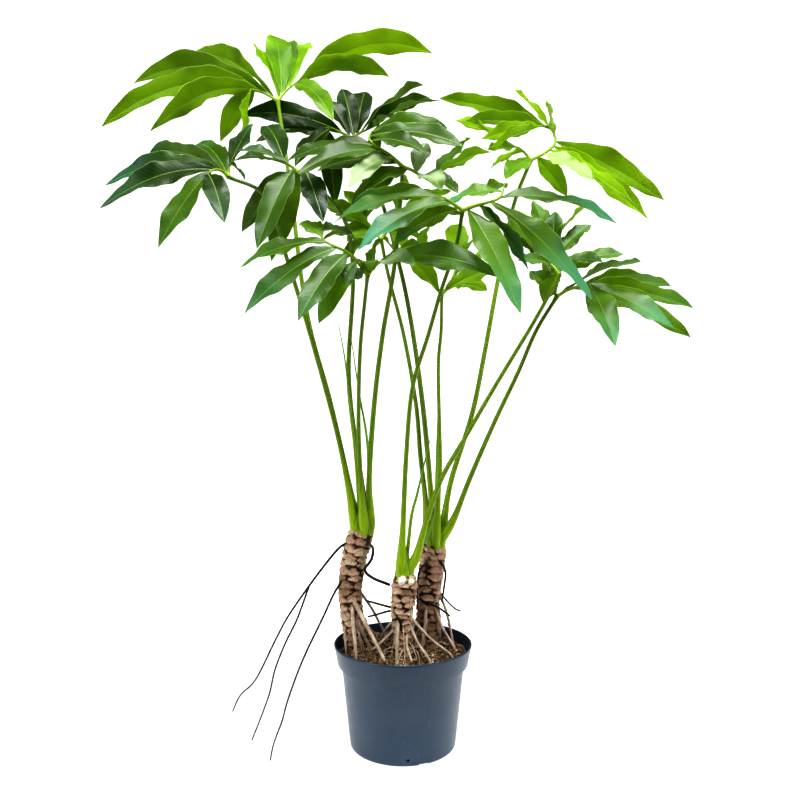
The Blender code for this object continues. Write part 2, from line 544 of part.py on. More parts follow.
def drill(group, centre, turn, radius=DRAIN_RADIUS):
    """A short cylinder that cuts one drain hole."""
    work = bmesh.new()
    bmesh.ops.create_cone(work, cap_ends=True, segments=DRILL_SIDES, radius1=radius, radius2=radius,
                          depth=DRILL_LENGTH)
    mesh = bpy.data.meshes.new("drill")
    work.to_mesh(mesh)
    work.free()
    cutter = place("drill", mesh, group)
    cutter.location = centre
    cutter.rotation_euler = turn
    cutter.hide_render = True
    cutter.display_type = "WIRE"
    return cutter


def inner_radius(height):
    """The radius of the pot's inside at a height."""
    low = (FLOOR_THICKNESS, BASE_RADIUS - WALL - INNER_FILLET)
    high = (BAND_FOOT - BAND_SLOPE, BODY_TOP_RADIUS - WALL)
    top = (BAND_FOOT + BAND_SLOPE, BAND_FOOT_RADIUS - WALL)
    rim = (POT_HEIGHT - LIP / 2, RIM_RADIUS - LIP)
    for (z0, r0), (z1, r1) in ((low, high), (high, top), (top, rim)):
        if height <= z1:
            return r0 + (r1 - r0) * (height - z0) / (z1 - z0)
    return rim[1]


def soil(group):
    """The potting soil: it fills the pot and rises in a lumpy mound round the trunks."""
    spare = CLEAR / math.cos(math.pi / SOIL_STEPS)
    levels = [FLOOR_THICKNESS + CLEAR, BAND_FOOT - BAND_SLOPE, BAND_FOOT + BAND_SLOPE, SOIL_EDGE]
    profile = [(0.0, SOIL_CROWN)]
    for i in range(1, SOIL_RINGS):
        share = i / SOIL_RINGS
        profile.append((share * inner_radius(SOIL_EDGE), SOIL_CROWN - (SOIL_CROWN - SOIL_EDGE) * share ** 2))
    fit = math.cos(math.pi / POT_STEPS)
    profile += [(inner_radius(z) * fit - 2 * spare, z) for z in reversed(levels)]
    profile.append((0.0, levels[0]))
    body = turned("soil", profile, SOIL_STEPS, group)
    reach = SOIL_LUMP_REACH * inner_radius(SOIL_EDGE) * fit
    for vertex in body.data.vertices:
        if vertex.co.z > SOIL_EDGE - MM and math.hypot(vertex.co.x, vertex.co.y) < reach:
            vertex.co.z += SOIL_LUMP * noise.noise(vertex.co * SOIL_LUMPS_PER_METRE)
    return body


def trunk_tube(name, crown, group):
    """A trunk with a band for each ring of leaf scars, its surface raised by a formula."""
    place_at, top_radius = CROWNS[crown]
    line = smooth_line([Vector(p) * CM for p in (*TRUNKS[crown], (*place_at, top_radius))], SCAR_PITCH / 2)
    centre = [p.xyz for p in line]
    radii = [p.w - (SCAR_DEPTH if i % 2 else 0.0) for i, p in enumerate(line)]
    body = tube(name, centre, radii, group, resolution=TRUNK_SIDES // 2 - 2)
    for vertex in body.data.vertices:
        near = min(range(len(centre)), key=lambda i: (centre[i] - vertex.co).length)
        out = vertex.co - centre[near]
        if 0 < near < len(centre) - 1:
            swell = math.cos(SCARS_ROUND * math.atan2(out.y, out.x) + (near // 2) * math.pi)
            vertex.co -= out * SCAR_HOLLOW * (1 - swell)
    return body


def hole_cutter(crown, group):
    """What a trunk and its prop roots take out of the soil: plain holes a little wider than they are."""
    points = [Vector(p) * CM for p in TRUNKS[crown][:3]]
    centre = [p.xyz for p in points]
    centre[0] -= UP * BURIED_SPARE
    radii = [(p.w + TRUNK_SPARE) / math.cos(math.pi / TRUNK_SIDES) for p in points]
    body = tube(f"hole {crown}", centre, radii, group, resolution=TRUNK_SIDES // 2 - 2)
    extras = collection("root holes")
    for points, millimetres in PROP_ROOTS[crown]:
        line, radii = prop_root(points, millimetres)
        line[-1] += (line[-1] - line[-2]).normalized() * BURIED_SPARE
        radii = [(r + CLEAR) / math.cos(math.pi / HOLE_SIDES) for r in radii]
        tube("root hole", line[-2:], radii[-2:], extras, resolution=HOLE_SIDES // 2 - 2)
    return combine(body, extras, "UNION")


def prop_root(points, millimetres):
    """A prop root's centre line and its radii, thicker at the trunk."""
    line = smooth_line([centimetres(p) for p in points], ROOT_SPACING)
    radius = millimetres * MM
    return line, taper(len(line), radius * ROOT_THICK_END, radius * ROOT_THIN_END)


def trunk(crown, group):
    """A trunk with its prop roots, air roots and cut stubs."""
    name = f"trunk_{crown}"
    body = trunk_tube(name, crown, group)
    extras = collection(f"{name} extras")
    for points, millimetres in PROP_ROOTS[crown]:
        line, radii = prop_root(points, millimetres)
        tube("prop root", line, radii, extras)
    for points, thick, thin in AIR_ROOTS[crown]:
        line = smooth_line([centimetres(p) for p in points], AIR_ROOT_SPACING)
        tube("air root", line, taper(len(line), thick * MM, thin * MM), extras, resolution=0)
    for start, way, millimetres in STUBS[crown]:
        foot = centimetres(start)
        end = foot + Vector(way).normalized() * STUB_LENGTH
        tube("stub", [foot, end], [millimetres * MM] * 2, extras, resolution=2)
    split_faces((body, *extras.objects))
    return combine(body, extras, "UNION")


def slot_place(crown, degrees):
    """Where a stalk stands on its crown's top."""
    centre, top_radius = CROWNS[crown]
    ring = min(SLOT_RING, top_radius * CM - SLOT_EDGE)
    turn = math.radians(degrees)
    return centimetres(centre) + Vector((math.cos(turn), math.sin(turn), 0)) * ring


def socket(group, foot, radius):
    """A round cutter for the socket that a stalk or spear stands in."""
    work = bmesh.new()
    reach = (radius + CLEAR) / math.cos(math.pi / SOCKET_SIDES)
    middle = Matrix.Translation(foot + UP * (SOCKET_CUTTER / 2 - SOCKET_DEPTH - CLEAR))
    bmesh.ops.create_cone(work, cap_ends=True, segments=SOCKET_SIDES, radius1=reach, radius2=reach,
                          depth=SOCKET_CUTTER, matrix=middle)
    mesh = bpy.data.meshes.new("socket")
    work.to_mesh(mesh)
    work.free()
    cutter = place("socket", mesh, group)
    cutter.hide_render = True
    cutter.display_type = "WIRE"


def blade_half_width(share, width):
    """Half the blade's width at a share of its length: narrow at the foot, drawn out to a long point."""
    widest = BLADE_RISE / (BLADE_RISE + BLADE_FALL)
    peak = widest ** BLADE_RISE * (1 - widest) ** BLADE_FALL
    return width / 2 * share ** BLADE_RISE * (1 - share) ** BLADE_FALL / peak


def blade_frame(root, tip, tilt, arch):
    """The blade's middle line as a quadratic Bezier's three points, and the way its upper side faces."""
    chord = tip - root
    level = Vector((chord.x, chord.y, 0))
    out = level.normalized() if level.length > MM else FRONT
    bow = arch * (BOW_UPRIGHT + BOW_LEVEL * level.length / chord.length)
    control = (root + tip) / 2 + UP * bow * chord.length
    facing = UP * math.cos(tilt) + FRONT * math.sin(tilt) - out * (chord.z / chord.length) * DROOP_TURN
    return (root, control, tip), facing


def blade(name, root, tip, width, tilt, arch, phase, group):
    """One leaflet: an arched, folded blade with waved edges, an open grid that is given its thickness."""
    (a, b, c), facing = blade_frame(root, tip, tilt, arch)
    work = bmesh.new()
    shares = SHORT_ROWS if (tip - root).length < SHORT_BLADE else LONG_ROWS
    rows = len(shares) - 1
    bmesh.ops.create_grid(work, x_segments=2, y_segments=rows, size=1.0)
    for vertex in work.verts:
        side = round(vertex.co.x)
        share = shares[round((vertex.co.y + 1) / 2 * rows)]
        along_blade = (b - a) * (1 - share) + (c - b) * share
        forward = along_blade.normalized()
        across = forward.cross(facing).normalized()
        normal = across.cross(forward)
        half = blade_half_width(share, width)
        wave = BLADE_WAVE * half * math.sin(2 * math.pi * (BLADE_WAVES * share + phase) + side)
        middle = a * (1 - share) ** 2 + b * 2 * share * (1 - share) + c * share ** 2
        vertex.co = (middle + across * side * half * math.cos(BLADE_FOLD)
                     + normal * abs(side) * (half * math.sin(BLADE_FOLD) + wave))
    bmesh.ops.remove_doubles(work, verts=work.verts, dist=MERGE)
    bmesh.ops.triangulate(work, faces=work.faces)
    mesh = bpy.data.meshes.new(name)
    work.to_mesh(mesh)
    work.free()
    thing = place(name, mesh, group)
    shell = thing.modifiers.new("Thickness", "SOLIDIFY")
    shell.thickness = BLADE
    shell.offset = 0.0
    return apply_modifiers(thing)


def frond(name, plan, group):
    """A frond: its stalk, the knob at the fork, two curled arms and the leaflets along their outer sides."""
    girth = plan["girth"]
    foot = slot_place(plan["crown"], plan["slot"])
    fork = centimetres(plan["fork"])
    start = [foot - UP * SOCKET_DEPTH, foot + UP * STRAIGHT_FOOT]
    line = [start[0], *smooth_line([start[1], *(centimetres(p) for p in plan["stalk"]), fork], STALK_SPACING)]
    middle = len(line) // 2
    radii = [STALK_BASE, *taper(middle, STALK_BASE, STALK_MIDDLE * girth)]
    radii += taper(len(line) - len(radii) + 1, STALK_MIDDLE * girth, STALK_TOP * girth)[1:]
    body = tube(name, line, radii, group)
    extras = collection(f"{name} extras")
    work = bmesh.new()
    centre = Matrix.Translation(fork)
    bmesh.ops.create_icosphere(work, subdivisions=1, radius=FORK_KNOB * girth, matrix=centre)
    mesh = bpy.data.meshes.new("knob")
    work.to_mesh(mesh)
    work.free()
    place("knob", mesh, extras)
    for arm in plan["arms"]:
        line = arm_line(fork, arm)
        tube("arm", line, taper(len(line), ARM_BASE, ARM_TIP), extras, resolution=0)
    for leaflet in leaflets(name, plan):
        blade("leaflet", *leaflet, extras)
    split_faces((body, *extras.objects))
    return combine(body, extras, "UNION")


def arm_line(fork, arm):
    """The centre line of one arm of the fork."""
    return smooth_line([fork, *(fork + centimetres(p) for p in arm["bends"])], ARM_SPACING)


def leaflets(name, plan):
    """Root, tip, width, tilt, arch and phase of the waves of each of a frond's leaflets."""
    draw = random.Random(name)
    fork = centimetres(plan["fork"])
    for arm in plan["arms"]:
        line = arm_line(fork, arm)
        last = len(arm["tips"]) - 1
        for i, reach in enumerate(arm["tips"]):
            root = along(line, FIRST_LEAFLET + (LAST_LEAFLET - FIRST_LEAFLET) * i / last)
            tip = fork + centimetres(reach)
            width = BLADE_WIDTH + BLADE_WIDEN * (tip - root).length
            yield root, tip, width, math.radians(reach[3]), plan["arch"], draw.random()


def spear_foot(crown, slot):
    """Where a spear stands on its crown's top."""
    return centimetres(CROWNS[crown][0]) + Vector((*slot, 0)) * MM


def spear(name, group):
    """A rolled new leaf that rises to a point."""
    crown, slot, points, millimetres = SPEARS[name]
    foot = spear_foot(crown, slot)
    start = [foot - UP * SOCKET_DEPTH, foot + UP * STRAIGHT_FOOT]
    line = [start[0], *smooth_line([start[1], *(centimetres(p) for p in points)], STALK_SPACING)]
    radius = millimetres * MM
    return tube(name, line, [radius, *taper(len(line) - 1, radius, SPEAR_TIP)], group)


def cut_sockets(body, crown):
    """Sinks a socket into the trunk's top for each stalk and spear that stands there."""
    sockets = collection("sockets")
    for plan in FRONDS.values():
        if plan["crown"] == crown:
            socket(sockets, slot_place(crown, plan["slot"]), STALK_BASE)
    for place_on, slot, _, millimetres in SPEARS.values():
        if place_on == crown:
            socket(sockets, spear_foot(crown, slot), millimetres * MM)
    return combine(body, sockets, "DIFFERENCE")


def main():
    """Builds the plant in its pot."""
    for thing in list(bpy.data.objects):
        bpy.data.objects.remove(thing)
    plant = collection("potted philodendron")
    green = material("leaf green", (0.055, 0.17, 0.012), 0.38)
    spear_green = material("spear green", (0.25, 0.42, 0.03), 0.45)
    bark = material("trunk bark", (0.19, 0.115, 0.065), 0.85)
    plastic = material("pot plastic", (0.088, 0.115, 0.145), 0.42)
    earth = material("potting soil", (0.045, 0.025, 0.014), 0.95)

    pot(plant).data.materials.append(plastic)
    ground = soil(plant)
    ground.data.materials.append(earth)
    holes = collection("soil holes")
    for crown in CROWNS:
        hole_cutter(crown, holes)
    combine(ground, holes, "DIFFERENCE")
    for crown in CROWNS:
        body = cut_sockets(trunk(crown, plant), crown)
        body.data.materials.clear()
        body.data.materials.append(bark)
    for name in SPEARS:
        spear(name, plant).data.materials.append(spear_green)
    for name, plan in FRONDS.items():
        body = frond(name, plan, plant)
        body.data.materials.clear()
        body.data.materials.append(green)
    for thing in plant.objects:
        thing.data.shade_smooth()
        thing.data.set_sharp_from_angle(angle=SHARP_ANGLE)


main()
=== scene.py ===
"""Potted philodendron: the looks of a tall house plant in a grower's pot.

Fan-like leaves stand on long stalks over three scarred trunks. Each leaf, or frond, forks into two curled
arms that carry narrow, drooping leaflets. The plans below give the plant's growth as the part's solids have
it, and the classes turn them into fine meshes. Lengths are in metres unless a docstring says otherwise, and
+Z is up.
"""

import logging
import math
import random
from dataclasses import dataclass, field
from enum import Enum

import bmesh
import bpy
import numpy as np
from bpy.types import ID, Material, Mesh, Node, NodeSocket, NodeTree, Object
from mathutils import Matrix, Vector


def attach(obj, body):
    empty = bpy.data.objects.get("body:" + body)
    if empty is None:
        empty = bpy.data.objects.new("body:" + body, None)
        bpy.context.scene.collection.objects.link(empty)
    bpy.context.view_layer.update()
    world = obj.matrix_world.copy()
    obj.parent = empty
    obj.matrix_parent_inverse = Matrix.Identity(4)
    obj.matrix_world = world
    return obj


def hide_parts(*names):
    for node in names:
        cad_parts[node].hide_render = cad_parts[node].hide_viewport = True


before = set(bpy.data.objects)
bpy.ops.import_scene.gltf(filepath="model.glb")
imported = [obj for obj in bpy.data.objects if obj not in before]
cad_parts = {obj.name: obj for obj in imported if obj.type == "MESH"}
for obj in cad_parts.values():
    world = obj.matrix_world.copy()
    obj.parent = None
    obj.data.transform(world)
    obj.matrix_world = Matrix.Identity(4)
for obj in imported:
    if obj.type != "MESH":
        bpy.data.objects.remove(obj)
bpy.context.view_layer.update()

LOG = logging.getLogger("philodendron")
CM = 0.01
MM = 0.001
UP = Vector((0, 0, 1))
FRONT = Vector((0, -1, 0))
Point = tuple[float, float, float]


@dataclass(frozen=True)
class ArmPlan:
    """One arm of a fork: its bends and its leaflets' tips, in centimetres from the fork.

    A tip's fourth number is the angle in degrees by which that blade's upper side leans to the front.
    """

    bends: tuple[Point, ...]
    tips: tuple[tuple[float, float, float, float], ...]


@dataclass(frozen=True)
class FrondPlan:
    """How one frond grows. Lengths are in centimetres and angles in degrees.

    arch is how strongly its leaflets bow upwards, where 1 is usual. tone runs from 0, a dark mature green,
    to 1, a young yellow green, and also carries painted light and shade: lit fronds have it higher and
    shaded ones lower. sheen is how much painted blue-grey sheen its upper sides carry, and its tip value
    how much painted sea-green sheen its tips carry. pale lists the leaflets, counted along both arms from 0,
    that carry a painted pale glare, and its shade list those that carry painted shade: they are deeper green
    and let less light through.
    """

    node: str
    crown: str
    slot: float
    girth: float
    arch: float
    stalk: tuple[Point, ...]
    fork: Point
    arms: tuple[ArmPlan, ...]
    tone: float = 0.3
    sheen: float = 0.3
    tip_sheen: float = 0.0
    pale: tuple[int, ...] = ()
    shaded: tuple[int, ...] = ()


@dataclass(frozen=True)
class RootPlan:
    """A root's centre line in centimetres, and its radii at the start and end in millimetres."""

    line: tuple[Point, ...]
    thick: float
    thin: float


@dataclass(frozen=True)
class TrunkPlan:
    """A trunk: its centre line with radii, its top and its roots, in centimetres.

    plates is the number of leaf scars in a ring, pitch the height of a ring in metres, and scarred_from the
    share of the length above which the scars are clean and pale. stubs have a foot, a way and a radius in
    millimetres.
    """

    node: str
    line: tuple[tuple[float, float, float, float], ...]
    top: Point
    top_radius: float
    plates: int
    pitch: float
    scarred_from: float
    prop_roots: tuple[RootPlan, ...]
    air_roots: tuple[RootPlan, ...]
    stubs: tuple[tuple[Point, Point, float], ...] = ()


@dataclass(frozen=True)
class SpearPlan:
    """A rolled new leaf: its crown, its line in centimetres, and its slot and foot radius in millimetres."""

    node: str
    crown: str
    slot: tuple[float, float]
    line: tuple[Point, ...]
    radius: float


FRONDS = (
    FrondPlan(
        "frond_top_left", "left", slot=140, girth=1, arch=1.7,
        stalk=((-9.6, 1.8, 45), (-13, 2.6, 59.5), (-17.5, 5, 76), (-21, 8.5, 100)),
        fork=(-23.5, 10, 116),
        arms=(
            ArmPlan(((-1.9, 0.5, 1.3), (-3.7, 0, 1.9), (-4.8, -2, 1.4)), (
                (-19, 9, 12, -30), (-28.5, 4, 5, -22), (-32, -3, -6, -22), (-21, -9, -9, -32),
                (-12, 5, -6, -34), (-6, -3, -10, -30))),
            ArmPlan(((1.1, 1.5, 2.3), (2.7, 2.5, 4.2), (4.4, 3, 5.6)), (
                (-6, 8, 14, -20), (-2.5, 12, 18, -10), (-1, 16, 18.5, 0), (2.5, 20, 19.5, -10),
                (11, -6, -6, 60), (21, 0, 4.5, -22), (29, -3, 7.5, -25))),
        ),
        tone=0.9, sheen=0.1, shaded=(0, 1, 2, 3),
    ),
    FrondPlan(
        "frond_left", "left", slot=205, girth=0.95, arch=1.2,
        stalk=((-9.3, -0.8, 43.5), (-11.5, -1, 54.5), (-16, -1.5, 71), (-19.8, -2, 83.5),
               (-23.5, -2.2, 94.5)),
        fork=(-30, -2.5, 98),
        arms=(
            ArmPlan(((-0.8, -0.8, 0.7), (-1.8, -2.5, 0.4), (-2.5, -4, -0.8)), (
                (-15.5, 6, 6, -26), (-21, 0, -1.5, 58), (-19.5, -6, -7, 66), (-9, -9, -14, 68),
                (2, -11, -10.5, 60))),
            ArmPlan(((-0.3, 2, 2.1), (-0.6, 4, 3.6)), (
                (-8, 10, 9, 50), (3.5, 4, 10.5, 55), (1.5, 7, 1.5, 50))),
        ),
        tone=0.15, sheen=0.8, tip_sheen=0.25,
    ),
    FrondPlan(
        "frond_inner_left", "left", slot=70, girth=0.95, arch=1,
        stalk=((-7.4, 1.4, 46), (-8.5, 1.4, 53), (-9.5, 0.2, 65), (-8.6, -2, 82), (-10.5, -3.2, 91.5)),
        fork=(-17.5, -5, 98),
        arms=(
            ArmPlan(((-1.2, 0.5, 1), (-2.8, 2, 2.3)), (
                (-11.5, 9, -8, -35), (-5.5, -8, -14.5, 66), (-10.5, -4, 0.5, 30), (-11.5, 3, 4.5, 35),
                (-8, 13, 12.5, 50))),
            ArmPlan(((0.8, -2, -0.3), (1.5, -4, -0.9)), (
                (-6, 8, -13.5, -30), (5, -9, -10.5, 60))),
        ),
        tone=0.12, sheen=0.45, tip_sheen=0.1, shaded=(1, 4),
    ),
    FrondPlan(
        "frond_centre", "left", slot=355, girth=1, arch=1,
        stalk=((-5.9, 0.6, 46), (-5, 0, 59), (-3.5, -1, 71), (-1.5, -2, 82.5), (-0.5, -3.5, 93)),
        fork=(0, -4.5, 99),
        arms=(
            ArmPlan(((-2.2, -0.5, 1.9), (-4.2, -1, 3), (-5.7, 0, 4.7), (-5.3, 2, 6.8)), (
                (-15, 4, 0.5, 55), (-8.5, -9, -6, 62), (-16.5, -9, -4, 48), (-19.5, 0, 1, 42),
                (3.5, -7, 0, 55), (10, -4, 2, 60), (7.5, 0, 6.5, 62))),
            ArmPlan(((1.5, 1, -0.2), (3.6, 2, -1.2), (5.6, 4, -1.7)), (
                (-9, 4, -5.5, -30), (-6, -7, -6, 50), (4, 4, 5.5, 50), (6, -9, -6.5, 62), (9, -4, -5.5, 50),
                (15.5, 6, 4.5, -20), (12.5, 12, 9, -10))),
        ),
        tone=0.4, sheen=0.2, pale=(1, 9, 10), shaded=(0, 3, 5, 8),
    ),
    FrondPlan(
        "frond_rear", "right", slot=100, girth=1, arch=1,
        stalk=((5, 3.4, 43.5), (3.6, 5, 59), (1.5, 8, 74.5), (-0.8, 11, 86), (-4.5, 15, 99.5)),
        fork=(-10, 17, 111.5),
        arms=(
            ArmPlan(((-1.9, -1, 0.6), (-3.8, -2, 1.2), (-5, -3, 1)), (
                (-6, 3, 9.5, 40), (-21, -5, 2.5, 75), (-18, -5, -2.5, 60), (-10, -9, -8.5, 60),
                (-3.5, 3, -12.5, -35))),
            ArmPlan(((1.5, 2, 1.7), (3.5, 3, 3), (5.5, 2, 3.5)), (
                (-2.5, 8, 13, 30), (2, 13, 14.5, 20), (14.5, 12, 15.5, -18), (15.5, 4, 9.5, -22),
                (17.5, -2, 6.5, 25), (9.5, -9, 0, 40), (2.5, 3, -11.5, -35))),
        ),
        tone=0.0, sheen=0.0, shaded=(0, 2, 3, 5, 6, 8, 9, 11),
    ),
    FrondPlan(
        "frond_top_right", "right", slot=28, girth=1, arch=0.5,
        stalk=((8.6, 3.3, 45), (12.5, 4.5, 57), (15, 6, 68.5), (17.5, 8, 81), (20.8, 10, 96)),
        fork=(24.5, 12, 105.5),
        arms=(
            ArmPlan(((-1.2, 0.8, 1.8), (-2.7, 2, 3.2), (-4, 3, 4.5)), (
                (-6, -8, -6, 50), (-8.5, -6, -3.5, -25), (-7.5, 6, 4, -20), (-14, 8, 10.5, -20))),
            ArmPlan(((3, 0.5, 1.7), (5, 2, 3.9), (5.3, 4.5, 6.8), (3.5, 4, 8), (0.9, 1, 6.5)), (
                (8, 5, -5.5, -35), (9.5, -9, -6.5, 60), (18, -5, -9.5, -15), (22, -1, -11.5, -20),
                (27.5, 6, -6, -30), (3, 1, 12, 40), (-1.5, 10, 17.5, -20), (-17, 8, 15, -26),
                (-12, 4, 9, -24), (-9.5, 0, 4, -24), (-8.5, -5, 0.5, -30))),
        ),
        tone=0.78, sheen=0.3, pale=(5, 9),
    ),
    FrondPlan(
        "frond_front", "middle", slot=232, girth=0.85, arch=1,
        stalk=((0, -4.9, 38.5), (0.5, -7, 50), (1.5, -9, 61.5), (4, -11, 70), (6, -13, 77),
               (8.2, -15.5, 83.5)),
        fork=(9, -17, 88.5),
        arms=(
            ArmPlan(((-1.7, -1, 0.9), (-2.7, -1, 1.6), (-3.8, 2, 2.6)), (
                (-10.5, 5, -4, -28), (-15.5, -7, -7.5, 45), (-19.5, 1, -1.5, 35), (-17.5, 6, 2, -15))),
            ArmPlan(((1.6, -1, 0.4), (3.1, -1.5, 0.7), (5.7, 0, 2), (6.7, 2, 4.8)), (
                (7.5, -8, -16.5, 60), (10, 0, -9, 50), (18.5, -5, -14.5, 50), (24, 2, -1.5, 35),
                (-2.5, 3, 1.5, 40), (5, 7, 4.5, -30))),
        ),
        tone=0.48, sheen=0.65, tip_sheen=0.75,
    ),
    FrondPlan(
        "frond_middle_rear", "right", slot=160, girth=0.9, arch=1,
        stalk=((4, 3.9, 42.5), (3.2, 5, 49.5), (2.4, 5.6, 59), (0.2, 6.3, 71.5), (-2.6, 7.4, 82.5)),
        fork=(-4, 8, 89.5),
        arms=(
            ArmPlan(((-1.7, 1, 2.3), (-3.7, 2, 3.7)), (
                (-2.5, 3, -5, 30), (-7.5, 0, -4, -30), (-6, -5, -1.5, 40), (-10.5, -4, -1, -20),
                (-8.5, -2, 4, -20), (-12.5, -1, 6.5, -20), (-7, 0, 9, -25), (-1.5, 2, 11, -20),
                (2, 5, 9.5, -20))),
            ArmPlan(((1.3, 0.5, 1.8), (2.4, 1.5, 3.6), (3.1, 2.5, 5.1)), (
                (3.5, -2, -4.5, -25), (9.5, -6, -3, -25), (14.5, -7, 3, -30), (13, 0, 9, -22),
                (4.5, 5, 13.5, -20))),
        ),
        tone=0.5, sheen=0.25,
    ),
    FrondPlan(
        "frond_front_left", "left", slot=285, girth=0.85, arch=1,
        stalk=((-7.3, -2, 46), (-7.5, -4.5, 56), (-7, -9, 67.5), (-6.1, -12.3, 75)),
        fork=(-5.5, -15, 79),
        arms=(
            ArmPlan(((-1.6, -0.5, 2.1), (-3.4, -1, 3.5), (-5.1, -1, 4.3), (-6.8, 0, 5.4), (-7.6, 2, 7.4)), (
                (-3.5, -3, -2, 45), (-7, -5, -8, 75), (-9.5, -9, -8, 75), (-18, -5, -6.5, 55),
                (-19.5, -1, 1, 40), (-11, 4, 9, 40), (-2.5, 9, 7.5, 55))),
            ArmPlan(((0.8, 1, 1.3), (1.8, 2.5, 2.5), (3.4, 4, 4.1)), (
                (-0.5, -6, 1, 50), (7, -8, 0, 55), (20, -6, -1.5, 60), (10, 6, 6, 0))),
        ),
        tone=0.3, sheen=0.9, tip_sheen=0.2, pale=(8,),
    ),
    FrondPlan(
        "frond_low_centre", "right", slot=275, girth=0.8, arch=1,
        stalk=((6.2, 0.2, 43), (6.5, 0, 49.5), (6.1, -2, 65), (6.5, -3.5, 71.5)),
        fork=(6.5, -5, 77.5),
        arms=(
            ArmPlan(((-1.4, 1, 1.7), (-2.9, 1.5, 3.3), (-4.6, 2, 5.2)), (
                (-7.5, -3, 7, -30), (-8.5, 0, 10.5, -25), (-2, 5, 12.5, -20))),
            ArmPlan(((1.4, 0, 1.5), (2.3, 1, 3.9), (3.2, 2, 5.8)), (
                (9.5, -4, 3.5, -34), (8, 3, 1, -35), (11, 5, 9, -25), (7.5, 4, 12, -20),
                (3, 12, 14.5, -15))),
        ),
        tone=0.85, sheen=0.7,
    ),
    FrondPlan(
        "frond_right", "middle", slot=350, girth=0.9, arch=0.8,
        stalk=((2.4, -4, 33.5), (4, -4.5, 39.5), (6.5, -4.9, 46.5), (10.5, -5.2, 53.5), (16, -5.6, 63),
               (22, -6, 73)),
        fork=(26, -6.5, 80.5),
        arms=(
            ArmPlan(((-0.9, 1, 1.6), (-2, 2, 2.3), (-3.5, 3, 3.3)), (
                (-2, 4, -4, -35), (-7.5, -4, 1.5, 50), (-9.5, 2, 11.5, 55), (-6.5, 5, 9, 40))),
            ArmPlan(((-0.4, 1, 2.6), (-0.9, 2, 4.8), (-1.4, 3.5, 6.5)), (
                (10, -2, 3, 50), (5.5, -6, 1, 45), (6, 3, 9, 40), (0, 4, 11.5, -20), (5.5, 5, 12.5, -20),
                (-3, 8, 14.5, -20))),
        ),
        tone=0.6, sheen=1.0, tip_sheen=0.15,
    ),
    FrondPlan(
        "frond_low_right", "right", slot=325, girth=0.95, arch=0.7,
        stalk=((9, 1, 38.8), (12, 0.5, 46.5), (16.3, -0.2, 56.5), (20, -1, 64.5), (22.9, -1.8, 71.5)),
        fork=(26.5, -2, 77.5),
        arms=(
            ArmPlan(((1.3, -1, 0.8), (3.3, -1.5, 1.6), (5.2, -2, 2)), (
                (18, 11, 8, -15), (22.5, 8, 3, -22), (25, 4, -1.5, -20), (23, 0, -7, -25), (17, -9, -6.5, 50),
                (6, -14, -9.5, 70))),
            ArmPlan(((-0.6, 1, 1.4), (-1.1, 2, 3.2)), (
                (-5.5, -5, 3.5, -20), (1, 6, 9, 30))),
        ),
        tone=0.36, sheen=0.9, tip_sheen=0.5,
    ),
)

